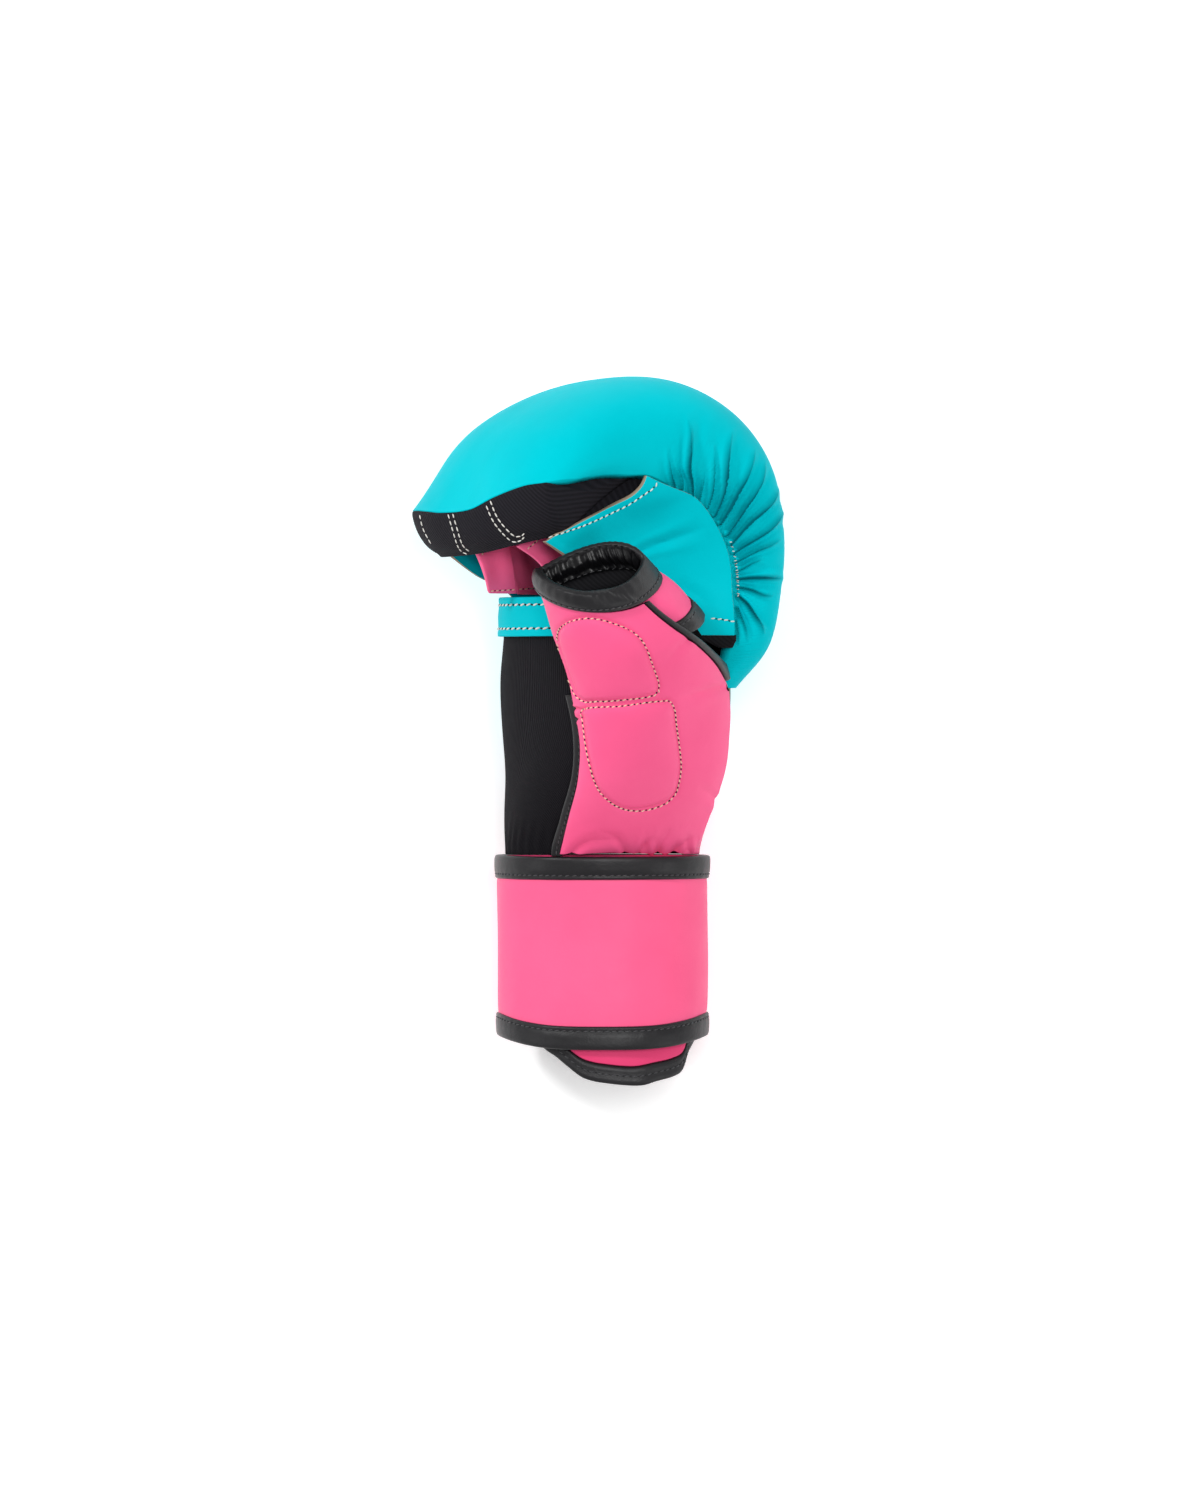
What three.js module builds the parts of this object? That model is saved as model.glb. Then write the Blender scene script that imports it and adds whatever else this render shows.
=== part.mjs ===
import * as THREE from "three";

// A mixed martial arts sparring glove for the right hand, in millimetres.
// It lies on the back and little-finger side of its padding and on its wrist strap.
// +X is the back of the hand, +Y runs from the cuff to the knuckles, +Z is up, towards the thumb.
// Inside the fist a point is named by three hand directions: back (b), along (y) and thumbward (c).
// The back direction leans down from level by HAND_TURN, so the palm looks up and to the left.

const DEG = Math.PI / 180;
const HAND_TURN = 34 * DEG;
const FIST_AXIS_HEIGHT = 64.5;

const LEATHER = 2.2;
const ELASTIC = 1.8;
const STRAP_LEATHER = 2.5;
const SEAM_GAP = 0.35;
const BINDING_PROUD = 0.8;

const STRAP_BOTTOM = 14;
const STRAP_TOP = 88;
const STRAP_BINDING_WIDTH = 9;
const CUFF_TOP = 87.8;
const PALM_BAND_BOTTOM = 171;
const PALM_BAND_TOP = 186;
const BACK_PANEL_TOP = 150.5;

const PAD_SQUARENESS = 2.5;
const PAD_TUCK_ANGLE = 110 * DEG;
const GATHERS = 8;
const GATHER_DEPTH = 3;
const LIP_HEIGHT = 16.5;
const LIP_SLANT = 10.5;

const TURQUOISE = 0x00bcc6;
const PINK = 0xf75f92;
const BLACK_BINDING = 0x3c3c40;
const BLACK_CLOTH = 0x26262a;

const mix = (from, to, share) => from + (to - from) * share;

function ease(from, to, value) {
  const share = Math.min(1, Math.max(0, (value - from) / (to - from)));
  return share * share * (3 - 2 * share);
}

const power = (value, exponent) => Math.sign(value) * Math.abs(value) ** exponent;

// Reads a table at a value of its key column, with a smooth curve through its rows.
function readTable(rows, key, value) {
  const last = rows.length - 1;
  let row = 0;
  while (row < last - 1 && value > rows[row + 1][key]) row += 1;
  const [before, from, to, after] = [row - 1, row, row + 1, row + 2].map(
    (i) => rows[Math.min(last, Math.max(0, i))],
  );
  const span = to[key] - from[key];
  const t = Math.min(1, Math.max(0, (value - from[key]) / span));
  const slope = (a, b, column) => ((b[column] - a[column]) / (b[key] - a[key])) * span;
  const result = {};
  for (const column of Object.keys(from)) {
    if (typeof from[column] !== "number") continue;
    const startSlope = slope(before, to, column);
    const endSlope = slope(from, after, column);
    result[column] =
      from[column] * (2 * t ** 3 - 3 * t ** 2 + 1) +
      startSlope * (t ** 3 - 2 * t ** 2 + t) +
      to[column] * (3 * t ** 2 - 2 * t ** 3) +
      endSlope * (t ** 3 - t ** 2);
  }
  return result;
}

// Nothing reaches below the surface that the glove lies on: leather is flattened there.
const onFloor = (x, y, z) => new THREE.Vector3(x, y, Math.max(0, z));

const fistPoint = (b, y, c) =>
  onFloor(
    b * Math.cos(HAND_TURN) + c * Math.sin(HAND_TURN),
    y,
    FIST_AXIS_HEIGHT - b * Math.sin(HAND_TURN) + c * Math.cos(HAND_TURN),
  );

function closedGeometry(positions, quads) {
  const triangles = quads.flatMap(([a, b, c, d]) => (a === d ? [[a, b, c]] : [[a, b, c], [a, c, d]]));
  const volume = triangles.reduce(
    (sum, [a, b, c]) => sum + positions[a].dot(positions[b].clone().cross(positions[c])),
    0,
  );
  const index = triangles.flatMap(([a, b, c]) => (volume < 0 ? [a, c, b] : [a, b, c]));
  const geometry = new THREE.BufferGeometry();
  geometry.setAttribute(
    "position",
    new THREE.Float32BufferAttribute(positions.flatMap((p) => p.toArray()), 3),
  );
  geometry.setIndex(index);
  geometry.computeVertexNormals();
  return geometry;
}

// A wall between an outer face (side 0) and an inner face (side 1), over u and v from 0 to 1.
// A ring is closed along u.
function wall(uSteps, vSteps, pointAt, ring = false) {
  const columns = ring ? uSteps : uSteps + 1;
  const positions = [];
  for (const side of [0, 1]) {
    for (let j = 0; j <= vSteps; j += 1) {
      for (let i = 0; i < columns; i += 1) positions.push(pointAt(i / uSteps, j / vSteps, side));
    }
  }
  const at = (i, j, side) => side * columns * (vSteps + 1) + j * columns + (i % columns);
  const quads = [];
  for (let j = 0; j < vSteps; j += 1) {
    for (let i = 0; i < uSteps; i += 1) {
      quads.push([at(i, j, 0), at(i + 1, j, 0), at(i + 1, j + 1, 0), at(i, j + 1, 0)]);
      quads.push([at(i, j + 1, 1), at(i + 1, j + 1, 1), at(i + 1, j, 1), at(i, j, 1)]);
    }
    if (ring) continue;
    quads.push([at(0, j, 0), at(0, j + 1, 0), at(0, j + 1, 1), at(0, j, 1)]);
    quads.push([at(uSteps, j + 1, 0), at(uSteps, j, 0), at(uSteps, j, 1), at(uSteps, j + 1, 1)]);
  }
  for (let i = 0; i < uSteps; i += 1) {
    quads.push([at(i, 0, 1), at(i + 1, 0, 1), at(i + 1, 0, 0), at(i, 0, 0)]);
    quads.push([at(i, vSteps, 0), at(i + 1, vSteps, 0), at(i + 1, vSteps, 1), at(i, vSteps, 1)]);
  }
  return closedGeometry(positions, quads);
}

// A solid through closed sections of the same number of points, with a flat cap at each end.
function loft(sections) {
  const count = sections[0].length;
  const positions = sections.flat();
  const middleOf = (section) =>
    section.reduce((sum, p) => sum.add(p), new THREE.Vector3()).divideScalar(count);
  positions.push(middleOf(sections[0]), middleOf(sections[sections.length - 1]));
  const firstCap = positions.length - 2;
  const lastCap = positions.length - 1;
  const at = (section, k) => section * count + (k % count);
  const quads = [];
  for (let k = 0; k < count; k += 1) {
    for (let s = 0; s < sections.length - 1; s += 1) {
      quads.push([at(s, k), at(s, k + 1), at(s + 1, k + 1), at(s + 1, k)]);
    }
    quads.push([firstCap, at(0, k + 1), at(0, k), firstCap]);
    quads.push([lastCap, at(sections.length - 1, k), at(sections.length - 1, k + 1), lastCap]);
  }
  return closedGeometry(positions, quads);
}

// The point that lies a given height outside a surface, where outward is 1 or -1 for its sense.
function lifted(surface, first, second, height, outward) {
  const step = 0.02;
  const alongFirst = surface(first + step, second).sub(surface(first - step, second));
  const alongSecond = surface(first, second + step).sub(surface(first, second - step));
  const normal = alongFirst.cross(alongSecond).normalize().multiplyScalar(outward);
  const point = surface(first, second).addScaledVector(normal, height);
  return onFloor(point.x, point.y, point.z);
}

const glove = new THREE.Group();

function addPiece(name, geometry, color, roughness) {
  const mesh = new THREE.Mesh(
    geometry,
    new THREE.MeshStandardMaterial({ color, roughness, metalness: 0 }),
  );
  mesh.name = name;
  glove.add(mesh);
}

// The sleeve of the hand: oval sections across the glove, from the cuff to the finger roots.
// half_b and half_c are the half sizes, and turn is the lean of the section in degrees.
const SLEEVE_SECTIONS = [
  { y: -2, cx: -0.8, cz: 32.7, half_b: 35.5, half_c: 28.5, turn: 0 },
  { y: 30, cx: -1, cz: 32.7, half_b: 36.6, half_c: 29.6, turn: 0 },
  { y: 88, cx: -1, cz: 34, half_b: 37, half_c: 31, turn: 4 },
  { y: 104, cx: 0.8, cz: 41, half_b: 38.8, half_c: 37, turn: 15 },
  { y: 120, cx: 3, cz: 50, half_b: 39, half_c: 43, turn: 25 },
  { y: 136, cx: 3.8, cz: 57, half_b: 39, half_c: 47, turn: 31 },
  { y: 154, cx: 3.8, cz: 62, half_b: 39, half_c: 47.5, turn: 34 },
  { y: 172, cx: 3.2, cz: 64, half_b: 38, half_c: 44, turn: 34 },
  { y: 190, cx: 3, cz: 64.5, half_b: 38, half_c: 42, turn: 34 },
];
const SLEEVE_SQUARENESS = 2.3;

// A point of the sleeve at an angle in degrees: 0 is the back, 90 the thumb side, 180 the palm.
function sleeve(angle, y) {
  const section = readTable(SLEEVE_SECTIONS, "y", y);
  const b = section.half_b * power(Math.cos(angle * DEG), 2 / SLEEVE_SQUARENESS);
  const c = section.half_c * power(Math.sin(angle * DEG), 2 / SLEEVE_SQUARENESS);
  const turn = section.turn * DEG;
  return new THREE.Vector3(
    section.cx + b * Math.cos(turn) + c * Math.sin(turn),
    y,
    section.cz - b * Math.sin(turn) + c * Math.cos(turn),
  );
}

const onSleeve = (angle, y, height) => lifted(sleeve, angle, y, height, -1);

// The palm panel's edge under the thumb panel, as an angle on the sleeve.
const PALM_PANEL_EDGE = [
  { y: 88, angle: 110 },
  { y: 96, angle: 116 },
  { y: 106, angle: 123 },
  { y: 118, angle: 127 },
  { y: 186, angle: 130 },
];
const PALM_PANEL_FAR_ANGLE = 254;
const PALM_PANEL_TOP = 175;
const BACK_PANEL_FROM = -105;
const BACK_PANEL_TO = 40;

addPiece(
  "palm_panel",
  wall(14, 12, (u, v, side) => {
    const y = mix(CUFF_TOP + SEAM_GAP, PALM_PANEL_TOP, v);
    const near = readTable(PALM_PANEL_EDGE, "y", y).angle;
    return onSleeve(mix(near, PALM_PANEL_FAR_ANGLE, u), y, side ? -ELASTIC : 0);
  }),
  BLACK_CLOTH,
  0.95,
);

addPiece(
  "back_panel",
  wall(14, 10, (u, v, side) => {
    const y = mix(CUFF_TOP + SEAM_GAP, BACK_PANEL_TOP, v);
    return onSleeve(mix(BACK_PANEL_FROM, BACK_PANEL_TO, u), y, side ? -LEATHER : 0);
  }),
  TURQUOISE,
  0.55,
);

const PALM_BAND_FROM = 121;
const PALM_BAND_TO = 242;

addPiece(
  "palm_band",
  wall(16, 3, (u, v, side) => {
    const angle = mix(PALM_BAND_FROM, PALM_BAND_TO, u);
    const y = mix(PALM_BAND_BOTTOM, PALM_BAND_TOP, v);
    return onSleeve(angle, y, side ? SEAM_GAP : SEAM_GAP + LEATHER);
  }),
  TURQUOISE,
  0.5,
);

// The cuff is the sleeve's end under the strap. Its hem hangs below the strap in two tongues.
const HEM = [
  { from_back: 0, y: 20.5 },
  { from_back: 25, y: 13 },
  { from_back: 33, y: 6 },
  { from_back: 42, y: 3.7 },
  { from_back: 59, y: 1.8 },
  { from_back: 76, y: 0.3 },
  { from_back: 98, y: 2.7 },
  { from_back: 110, y: 8 },
  { from_back: 120, y: 12.9 },
  { from_back: 140, y: 18.5 },
  { from_back: 180, y: 20.5 },
];
const CUFF_BINDING_WIDTH = 7;
const CUFF_BINDING_PROUD = 0.2;

function hem(angle) {
  return readTable(HEM, "from_back", Math.abs(((angle + 540) % 360) - 180)).y;
}

addPiece(
  "cuff",
  wall(
    36,
    3,
    (u, v, side) => {
      const angle = 360 * u;
      const y = mix(hem(angle) + CUFF_BINDING_WIDTH + SEAM_GAP, CUFF_TOP, v);
      return onSleeve(angle, y, side ? -LEATHER : 0);
    },
    true,
  ),
  PINK,
  0.5,
);

addPiece(
  "cuff_binding",
  wall(
    36,
    2,
    (u, v, side) => {
      const angle = 360 * u;
      const y = mix(hem(angle), hem(angle) + CUFF_BINDING_WIDTH, v);
      return onSleeve(angle, y, side ? -LEATHER - CUFF_BINDING_PROUD : CUFF_BINDING_PROUD);
    },
    true,
  ),
  BLACK_BINDING,
  0.45,
);

// The wrist strap goes round the cuff. Its lower edge sags towards the middle of each face.
const STRAP_INNER = 1.1;
const STRAP_SAG = 5;

function strapBottom(angle) {
  return STRAP_BOTTOM + STRAP_SAG * Math.abs(Math.cos(angle * DEG)) ** 3;
}

addPiece(
  "wrist_strap",
  wall(
    40,
    3,
    (u, v, side) => {
      const angle = 360 * u;
      const bottom = strapBottom(angle) + STRAP_BINDING_WIDTH + SEAM_GAP;
      const y = mix(bottom, STRAP_TOP - STRAP_BINDING_WIDTH - SEAM_GAP, v);
      return onSleeve(angle, y, side ? STRAP_INNER : STRAP_INNER + STRAP_LEATHER);
    },
    true,
  ),
  PINK,
  0.5,
);

function strapBinding(startAt) {
  return wall(
    40,
    2,
    (u, v, side) => {
      const angle = 360 * u;
      const y = startAt(angle) + STRAP_BINDING_WIDTH * v;
      return onSleeve(angle, y, side ? STRAP_INNER : STRAP_INNER + STRAP_LEATHER + BINDING_PROUD);
    },
    true,
  );
}

addPiece("strap_binding_lower", strapBinding(strapBottom), BLACK_BINDING, 0.45);
addPiece(
  "strap_binding_upper",
  strapBinding(() => STRAP_TOP - STRAP_BINDING_WIDTH),
  BLACK_BINDING,
  0.45,
);

// The strap's closing end lies over the strap on the back of the wrist.
const STRAP_END_FROM = -62;
const STRAP_END_TO = -20;
const STRAP_END_MARGIN = 11;
const STRAP_END_THICK = 2;

addPiece(
  "strap_end",
  wall(12, 3, (u, v, side) => {
    const angle = mix(STRAP_END_FROM, STRAP_END_TO, u);
    const bottom = strapBottom(angle) + STRAP_END_MARGIN;
    const y = mix(bottom, STRAP_TOP - STRAP_END_MARGIN, v);
    const base = STRAP_INNER + STRAP_LEATHER + SEAM_GAP;
    return onSleeve(angle, y, side ? base : base + STRAP_END_THICK);
  }),
  PINK,
  0.5,
);

// The knuckle padding, read along its hook from the heel on the back of the hand to the nose
// over the fingertips. ridge is the outermost line, inner the line under the foam, and seam the
// line on each side where the padding's leather ends. half is the half width of the outer face, and
// edge how much narrower the inner face is.
const PAD_COLUMNS = [
  "at", "ridge_b", "ridge_y", "inner_b", "inner_y", "seam_b", "seam_y", "half", "edge",
];
const PAD_SECTIONS = [
  [0, 44, 151.5, 41.5, 151.5, 27, 151.5, 35, 4],
  [0.14, 54.5, 168, 44, 166, 28, 165, 47, 7],
  [0.28, 60, 190, 41, 186, 27, 179, 50, 10],
  [0.42, 62.8, 215, 35, 206, 24.5, 193, 50, 10],
  [0.55, 57.5, 241, 27, 223, 18, 209, 50, 10],
  [0.67, 40, 260, 14, 235, 7, 222, 50, 10],
  [0.78, 12, 269.5, -4, 240, -10, 229.6, 50, 10],
  [0.87, -20, 265, -23, 238, -22, 229.2, 50, 10],
  [0.94, -50, 248.5, -45, 232.5, -32, 228.4, 50, 10],
  [1, -71, 220.5, -67, 220, -41, 226.5, 50, 10],
].map((row) => Object.fromEntries(PAD_COLUMNS.map((name, i) => [name, row[i]])));
// How much shorter the nose is over the little finger, and how much lower.
const NOSE_FROM = 0.6;
const NOSE_SHORTER = 7;
const NOSE_SLANT = 0.07;
const LITTLE_FINGER_FROM = 10;
const LITTLE_FINGER_REACH = 40;
// How much fuller the padding is on the side that it lies on.
const LITTLE_SIDE_FULLER = 2.6;
// The stretch of the hook along which the seam is gathered, as the gathers rise and fade.
const GATHERED = { from: 0.02, full: 0.12, fading: 0.7, faded: 0.8, length: 0.78 };
// The stretch of the hook along which the inner face's tuck turns from inward to down.
const HOOK_TURN = { from: 0.5, to: 0.8 };
const TUCK_SHARE = 0.6;

// Shares of the way from the ridge to the seam, and of the half width, at an angle of the arch.
function arch(angle, full) {
  const height = power(Math.cos(angle), 2 / PAD_SQUARENESS);
  const lowest = power(Math.cos(full), 2 / PAD_SQUARENESS);
  return {
    toSeam: (1 - height) / (1 - lowest),
    across: power(Math.sin(angle), 2 / PAD_SQUARENESS),
  };
}

function nosePlace(b, y, c, at) {
  const nose = ease(NOSE_FROM, 1, at);
  const littleFinger = Math.max(0, (-c - LITTLE_FINGER_FROM) / LITTLE_FINGER_REACH);
  return [b + NOSE_SHORTER * nose * littleFinger ** 1.5, y + NOSE_SLANT * nose * c];
}

// The outer face of the padding. across runs from -1 at the little-finger seam to 1 at the other.
function padOuter(at, across) {
  const row = readTable(PAD_SECTIONS, "at", at);
  const side = Math.sign(across) || 1;
  const place = arch(Math.abs(across) * PAD_TUCK_ANGLE, PAD_TUCK_ANGLE);
  const half = side < 0 ? row.half + LITTLE_SIDE_FULLER : row.half;
  const c = side * half * place.across;
  const b = mix(row.ridge_b, row.seam_b, place.toSeam);
  const y = mix(row.ridge_y, row.seam_y, place.toSeam);
  const risen = ease(GATHERED.from, GATHERED.full, at);
  const gathered = risen * (1 - ease(GATHERED.fading, GATHERED.faded, at));
  const fold = 0.5 - 0.5 * Math.cos((2 * Math.PI * GATHERS * at) / GATHERED.length);
  const strength = ease(0.45, 0.95, Math.abs(across)) * gathered * GATHER_DEPTH * fold;
  const [noseB, noseY] = nosePlace(b, y, c, at);
  return fistPoint(noseB, noseY, c - side * strength);
}

// The face under the foam. It meets the outer face at the seams, a leather's thickness away.
function padInner(at, across) {
  const row = readTable(PAD_SECTIONS, "at", at);
  const place = arch((Math.abs(across) * Math.PI) / 2, Math.PI / 2);
  const c = (Math.sign(across) || 1) * (row.half - row.edge) * place.across;
  const towardsHand = mix(0, LEATHER, place.toSeam);
  const turned = ease(HOOK_TURN.from, HOOK_TURN.to, at);
  const b = mix(row.inner_b, row.seam_b, place.toSeam) - towardsHand * (1 - turned);
  const y = mix(row.inner_y, row.seam_y, place.toSeam) - towardsHand * turned * TUCK_SHARE;
  const [noseB, noseY] = nosePlace(b, y, c, at);
  return fistPoint(noseB, noseY, c);
}

addPiece(
  "knuckle_pad",
  wall(40, 20, (u, v, side) => (side ? padInner : padOuter)(u, 2 * v - 1)),
  TURQUOISE,
  0.5,
);

// The finger lining wraps the nose of the padding and lines the roof over the fingers.
const LINING_HALF_WIDTH = 38.6;
const LINING_FROM = 0.8;
const LINING_GAP = 0.8;
const ROOF_ARCH = 2;
const ROOF_CLEARANCE = 1.2;
const LIP_OVERHANG = 3.5;

// The padding's inner face at a thumbward distance, for a place along its hook.
function innerAcross(at, c) {
  const row = readTable(PAD_SECTIONS, "at", at);
  const share = Math.min(1, Math.abs(c) / (row.half - row.edge));
  return (Math.sign(c) * Math.asin(share ** (PAD_SQUARENESS / 2))) / (Math.PI / 2);
}

function fistPlace(point, c) {
  const b = (point.x - c * Math.sin(HAND_TURN)) / Math.cos(HAND_TURN);
  return { b, y: point.y };
}

function roofPoint(lip, start, share) {
  return {
    b: mix(lip.b, start.b, share),
    y: mix(lip.y, start.y - ROOF_CLEARANCE, share) + ROOF_ARCH * Math.sin(Math.PI * share),
  };
}

function liningSection(c) {
  const top = [];
  for (let i = 0; i <= 6; i += 1) {
    const at = mix(LINING_FROM, 1, i / 6);
    const place = fistPlace(padInner(at, innerAcross(at, c)), c);
    top.push({ b: place.b, y: place.y - LINING_GAP });
  }
  const fold = { b: top[6].b - LIP_OVERHANG, y: top[6].y };
  const lip = { b: fold.b + LIP_SLANT, y: fold.y - LIP_HEIGHT };
  const front = [0, 25, 50, 72, 90].map((angle) => ({
    b: mix(lip.b, fold.b, Math.cos(angle * DEG)),
    y: mix(fold.y, lip.y, Math.sin(angle * DEG)),
  }));
  const roof = [0.25, 0.5, 0.75, 1].map((share) => roofPoint(lip, top[0], share));
  return { lip, start: top[0], points: [...top, ...front, ...roof] };
}

const liningSections = [];
for (let i = 0; i <= 16; i += 1) {
  const c = LINING_HALF_WIDTH * Math.sin(mix(-Math.PI / 2, Math.PI / 2, i / 16));
  liningSections.push(liningSection(c).points.map((p) => fistPoint(p.b, p.y, c)));
}
addPiece("finger_lining", loft(liningSections), BLACK_CLOTH, 0.9);

// Each side panel closes the fist from the seam of the padding to the free edge over the
// fingertips. c is the distance of its outer face from the axis, and seam_at the place of its
// other edge along the hook of the padding.
const INDEX_PANEL_EDGE = [
  { at: 0, b: -14, y: 171.5, c: 39, seam_at: 0.2 },
  { at: 0.3, b: -15, y: 187, c: 39, seam_at: 0.37 },
  { at: 0.62, b: -37, y: 197, c: 40, seam_at: 0.56 },
  { at: 1, b: -56, y: 206, c: 42, seam_at: 0.77 },
];
const LITTLE_PANEL_EDGE = [
  { at: 0, b: -5, y: 151.2, c: 45, seam_at: 0.02 },
  { at: 0.28, b: -8, y: 176, c: 42, seam_at: 0.22 },
  { at: 0.45, b: -18, y: 188, c: 40, seam_at: 0.36 },
  { at: 0.7, b: -32, y: 194.5, c: 40, seam_at: 0.56 },
  { at: 1, b: -46, y: 204, c: 42, seam_at: 0.77 },
];
const SIDE_PANEL_DIP = 3;
const SEAM_TUCK = 3.4;
const SEAM_DEPTH = 5.5;
const SEAM_DROP = 1.2;
const FIST_CENTRE = { b: -14, y: 185 };

function sidePanel(rows, hand, s, t, depth) {
  const edge = readTable(rows, "at", t);
  const row = readTable(PAD_SECTIONS, "at", edge.seam_at);
  const away = Math.hypot(FIST_CENTRE.b - row.seam_b, FIST_CENTRE.y - row.seam_y);
  const seam = {
    b: mix(row.seam_b, FIST_CENTRE.b, SEAM_TUCK / away),
    y: mix(row.seam_y, FIST_CENTRE.y, SEAM_TUCK / away) - SEAM_DROP * t,
  };
  const inside = ease(0, 0.3, t) * (1 - ease(0.75, 1, t));
  const dip = SIDE_PANEL_DIP * Math.sin(Math.PI * s) * inside;
  const c = mix(edge.c, row.half - SEAM_DEPTH, s) - dip - depth;
  return fistPoint(mix(edge.b, seam.b, s), mix(edge.y, seam.y, s), hand * c);
}

for (const [name, hand, rows] of [
  ["side_panel_index", 1, INDEX_PANEL_EDGE],
  ["side_panel_little", -1, LITTLE_PANEL_EDGE],
]) {
  addPiece(
    name,
    wall(8, 10, (u, v, side) => sidePanel(rows, hand, u, v, side * LEATHER)),
    TURQUOISE,
    0.5,
  );
}

// Three straps between the fingers run from the lip of the lining to the palm band. head is how
// far along the roof the upper end starts, foot how far back the lower end stands, lean how far
// the lower end is off towards the thumb, and bow how far the middle is off towards the back.
const FINGER_STRAPS = [
  { name: "finger_strap_1", c: 24, head: 0.02, foot: -42, lean: -7, bow: 6 },
  { name: "finger_strap_2", c: 1, head: 0.02, foot: -49, lean: -7, bow: -1 },
  { name: "finger_strap_3", c: -21, head: 0.42, foot: -25, lean: -1, bow: -1 },
];
const FINGER_STRAP_FOOT_Y = 187;
const FINGER_STRAP_WIDTH = 13;
const FINGER_STRAP_THICK = 2;
const FINGER_STRAP_BULGE = 2.5;
const FINGER_STRAP_HEAD = 0.25;

for (const { name, c, head, foot, lean, bow } of FINGER_STRAPS) {
  const section = liningSection(c);
  addPiece(
    name,
    wall(4, 5, (u, v, side) => {
      const top = roofPoint(section.lip, section.start, head + FINGER_STRAP_HEAD * u);
      const middle = Math.sin(Math.PI * v);
      return fistPoint(
        mix(top.b, foot + FINGER_STRAP_WIDTH * u, v) + bow * middle,
        mix(top.y - ROOF_CLEARANCE, FINGER_STRAP_FOOT_Y, v),
        c + lean * v + FINGER_STRAP_BULGE * middle - side * FINGER_STRAP_THICK,
      );
    }),
    PINK,
    0.5,
  );
}

// The thumb sleeve, read along its front. left and right are its two sides, crown the height of
// its front above them, rear the depth of its back below them, and lean how far the sides and
// the back reach ahead of the front. The front is 0 to 1 from left to right, the back 1 to 2.
const THUMB_SECTIONS = [
  { y: 88, left_x: -18, left_z: 66.8, right_x: 30.6, right_z: 53.6, crown: 5, rear: 0, lean: 0 },
  { y: 103, left_x: -15, left_z: 79.8, right_x: 37.3, right_z: 57.5, crown: 14, rear: 0, lean: 0 },
  { y: 118, left_x: -11.4, left_z: 92.8, right_x: 43.6, right_z: 63.5, crown: 20, rear: 0, lean: 0 },
  { y: 132, left_x: -10.6, left_z: 100.8, right_x: 46.9, right_z: 68, crown: 26, rear: 0, lean: 0 },
  { y: 148, left_x: -14.4, left_z: 105, right_x: 48.2, right_z: 76, crown: 33, rear: 0, lean: 2 },
  { y: 164, left_x: -21, left_z: 118, right_x: 39.5, right_z: 103, crown: 28, rear: 2, lean: 8.6 },
  { y: 182, left_x: -26, left_z: 130, right_x: 18.8, right_z: 124, crown: 22, rear: 5, lean: 9.8 },
  { y: 188, left_x: -24.6, left_z: 134, right_x: 13.4, right_z: 130, crown: 20.5, rear: 5, lean: 9.8 },
];
const THUMB_ROUNDNESS = 0.6;
// How much more the right side leans, how much the back leans beyond the sides, and how far its
// highest point is moved towards the right.
const RIGHT_LEANS_MORE = 0.35;
const BACK_LEANS = 0.8;
const BACK_SKEW = 1.6;

function thumb(around, y) {
  const section = readTable(THUMB_SECTIONS, "y", y);
  const turn = ((around % 2) + 2) % 2;
  const front = turn <= 1;
  const share = front ? turn : 2 - turn;
  const bow = (4 * share * (1 - share)) ** THUMB_ROUNDNESS;
  const rise = front ? section.crown * bow : -section.rear * bow;
  const sideLean = section.lean * (1 + RIGHT_LEANS_MORE * share);
  const skewed = share ** BACK_SKEW;
  const backBow = (4 * skewed * (1 - skewed)) ** THUMB_ROUNDNESS;
  const ahead = front ? sideLean * (1 - bow) : sideLean + section.lean * BACK_LEANS * backBow;
  return new THREE.Vector3(
    mix(section.left_x, section.right_x, share),
    y + ahead,
    mix(section.left_z, section.right_z, share) + rise,
  );
}

const onThumb = (around, y, height) => lifted(thumb, around, y, height, 1);

// The panel is sewn to the back panel up to the web, and free and bound above it.
const THUMB_PANEL_RIGHT = [
  { y: 88, edge: 0.995 },
  { y: 142, edge: 0.985 },
  { y: 150, edge: 0.984 },
  { y: 154, edge: 0.964 },
  { y: 157, edge: 0.941 },
  { y: 160, edge: 0.916 },
  { y: 163, edge: 0.894 },
  { y: 167, edge: 0.869 },
  { y: 171, edge: 0.849 },
  { y: 175, edge: 0.838 },
  { y: 180, edge: 0.838 },
];
const THUMB_PANEL_LEFT = 0.012;
const THUMB_PANEL_TOP = 178.9;
const THUMB_PANEL_THICK = 2.6;
const THUMB_BINDING_TOP = 186.5;
const THUMB_BINDING_PROUD = 0.6;

addPiece(
  "thumb_panel",
  wall(12, 15, (u, v, side) => {
    const y = mix(STRAP_TOP + SEAM_GAP, THUMB_PANEL_TOP, v);
    const right = readTable(THUMB_PANEL_RIGHT, "y", y).edge;
    const share = 0.5 - 0.5 * Math.cos(Math.PI * u);
    return onThumb(mix(THUMB_PANEL_LEFT, right, share), y, side ? -THUMB_PANEL_THICK : 0);
  }),
  PINK,
  0.5,
);

addPiece(
  "thumb_tip_binding",
  wall(
    28,
    2,
    (u, v, side) => {
      const y = mix(THUMB_PANEL_TOP + SEAM_GAP, THUMB_BINDING_TOP, v);
      return onThumb(2 * u, y, side ? -THUMB_PANEL_THICK : THUMB_BINDING_PROUD);
    },
    true,
  ),
  BLACK_BINDING,
  0.45,
);

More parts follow.
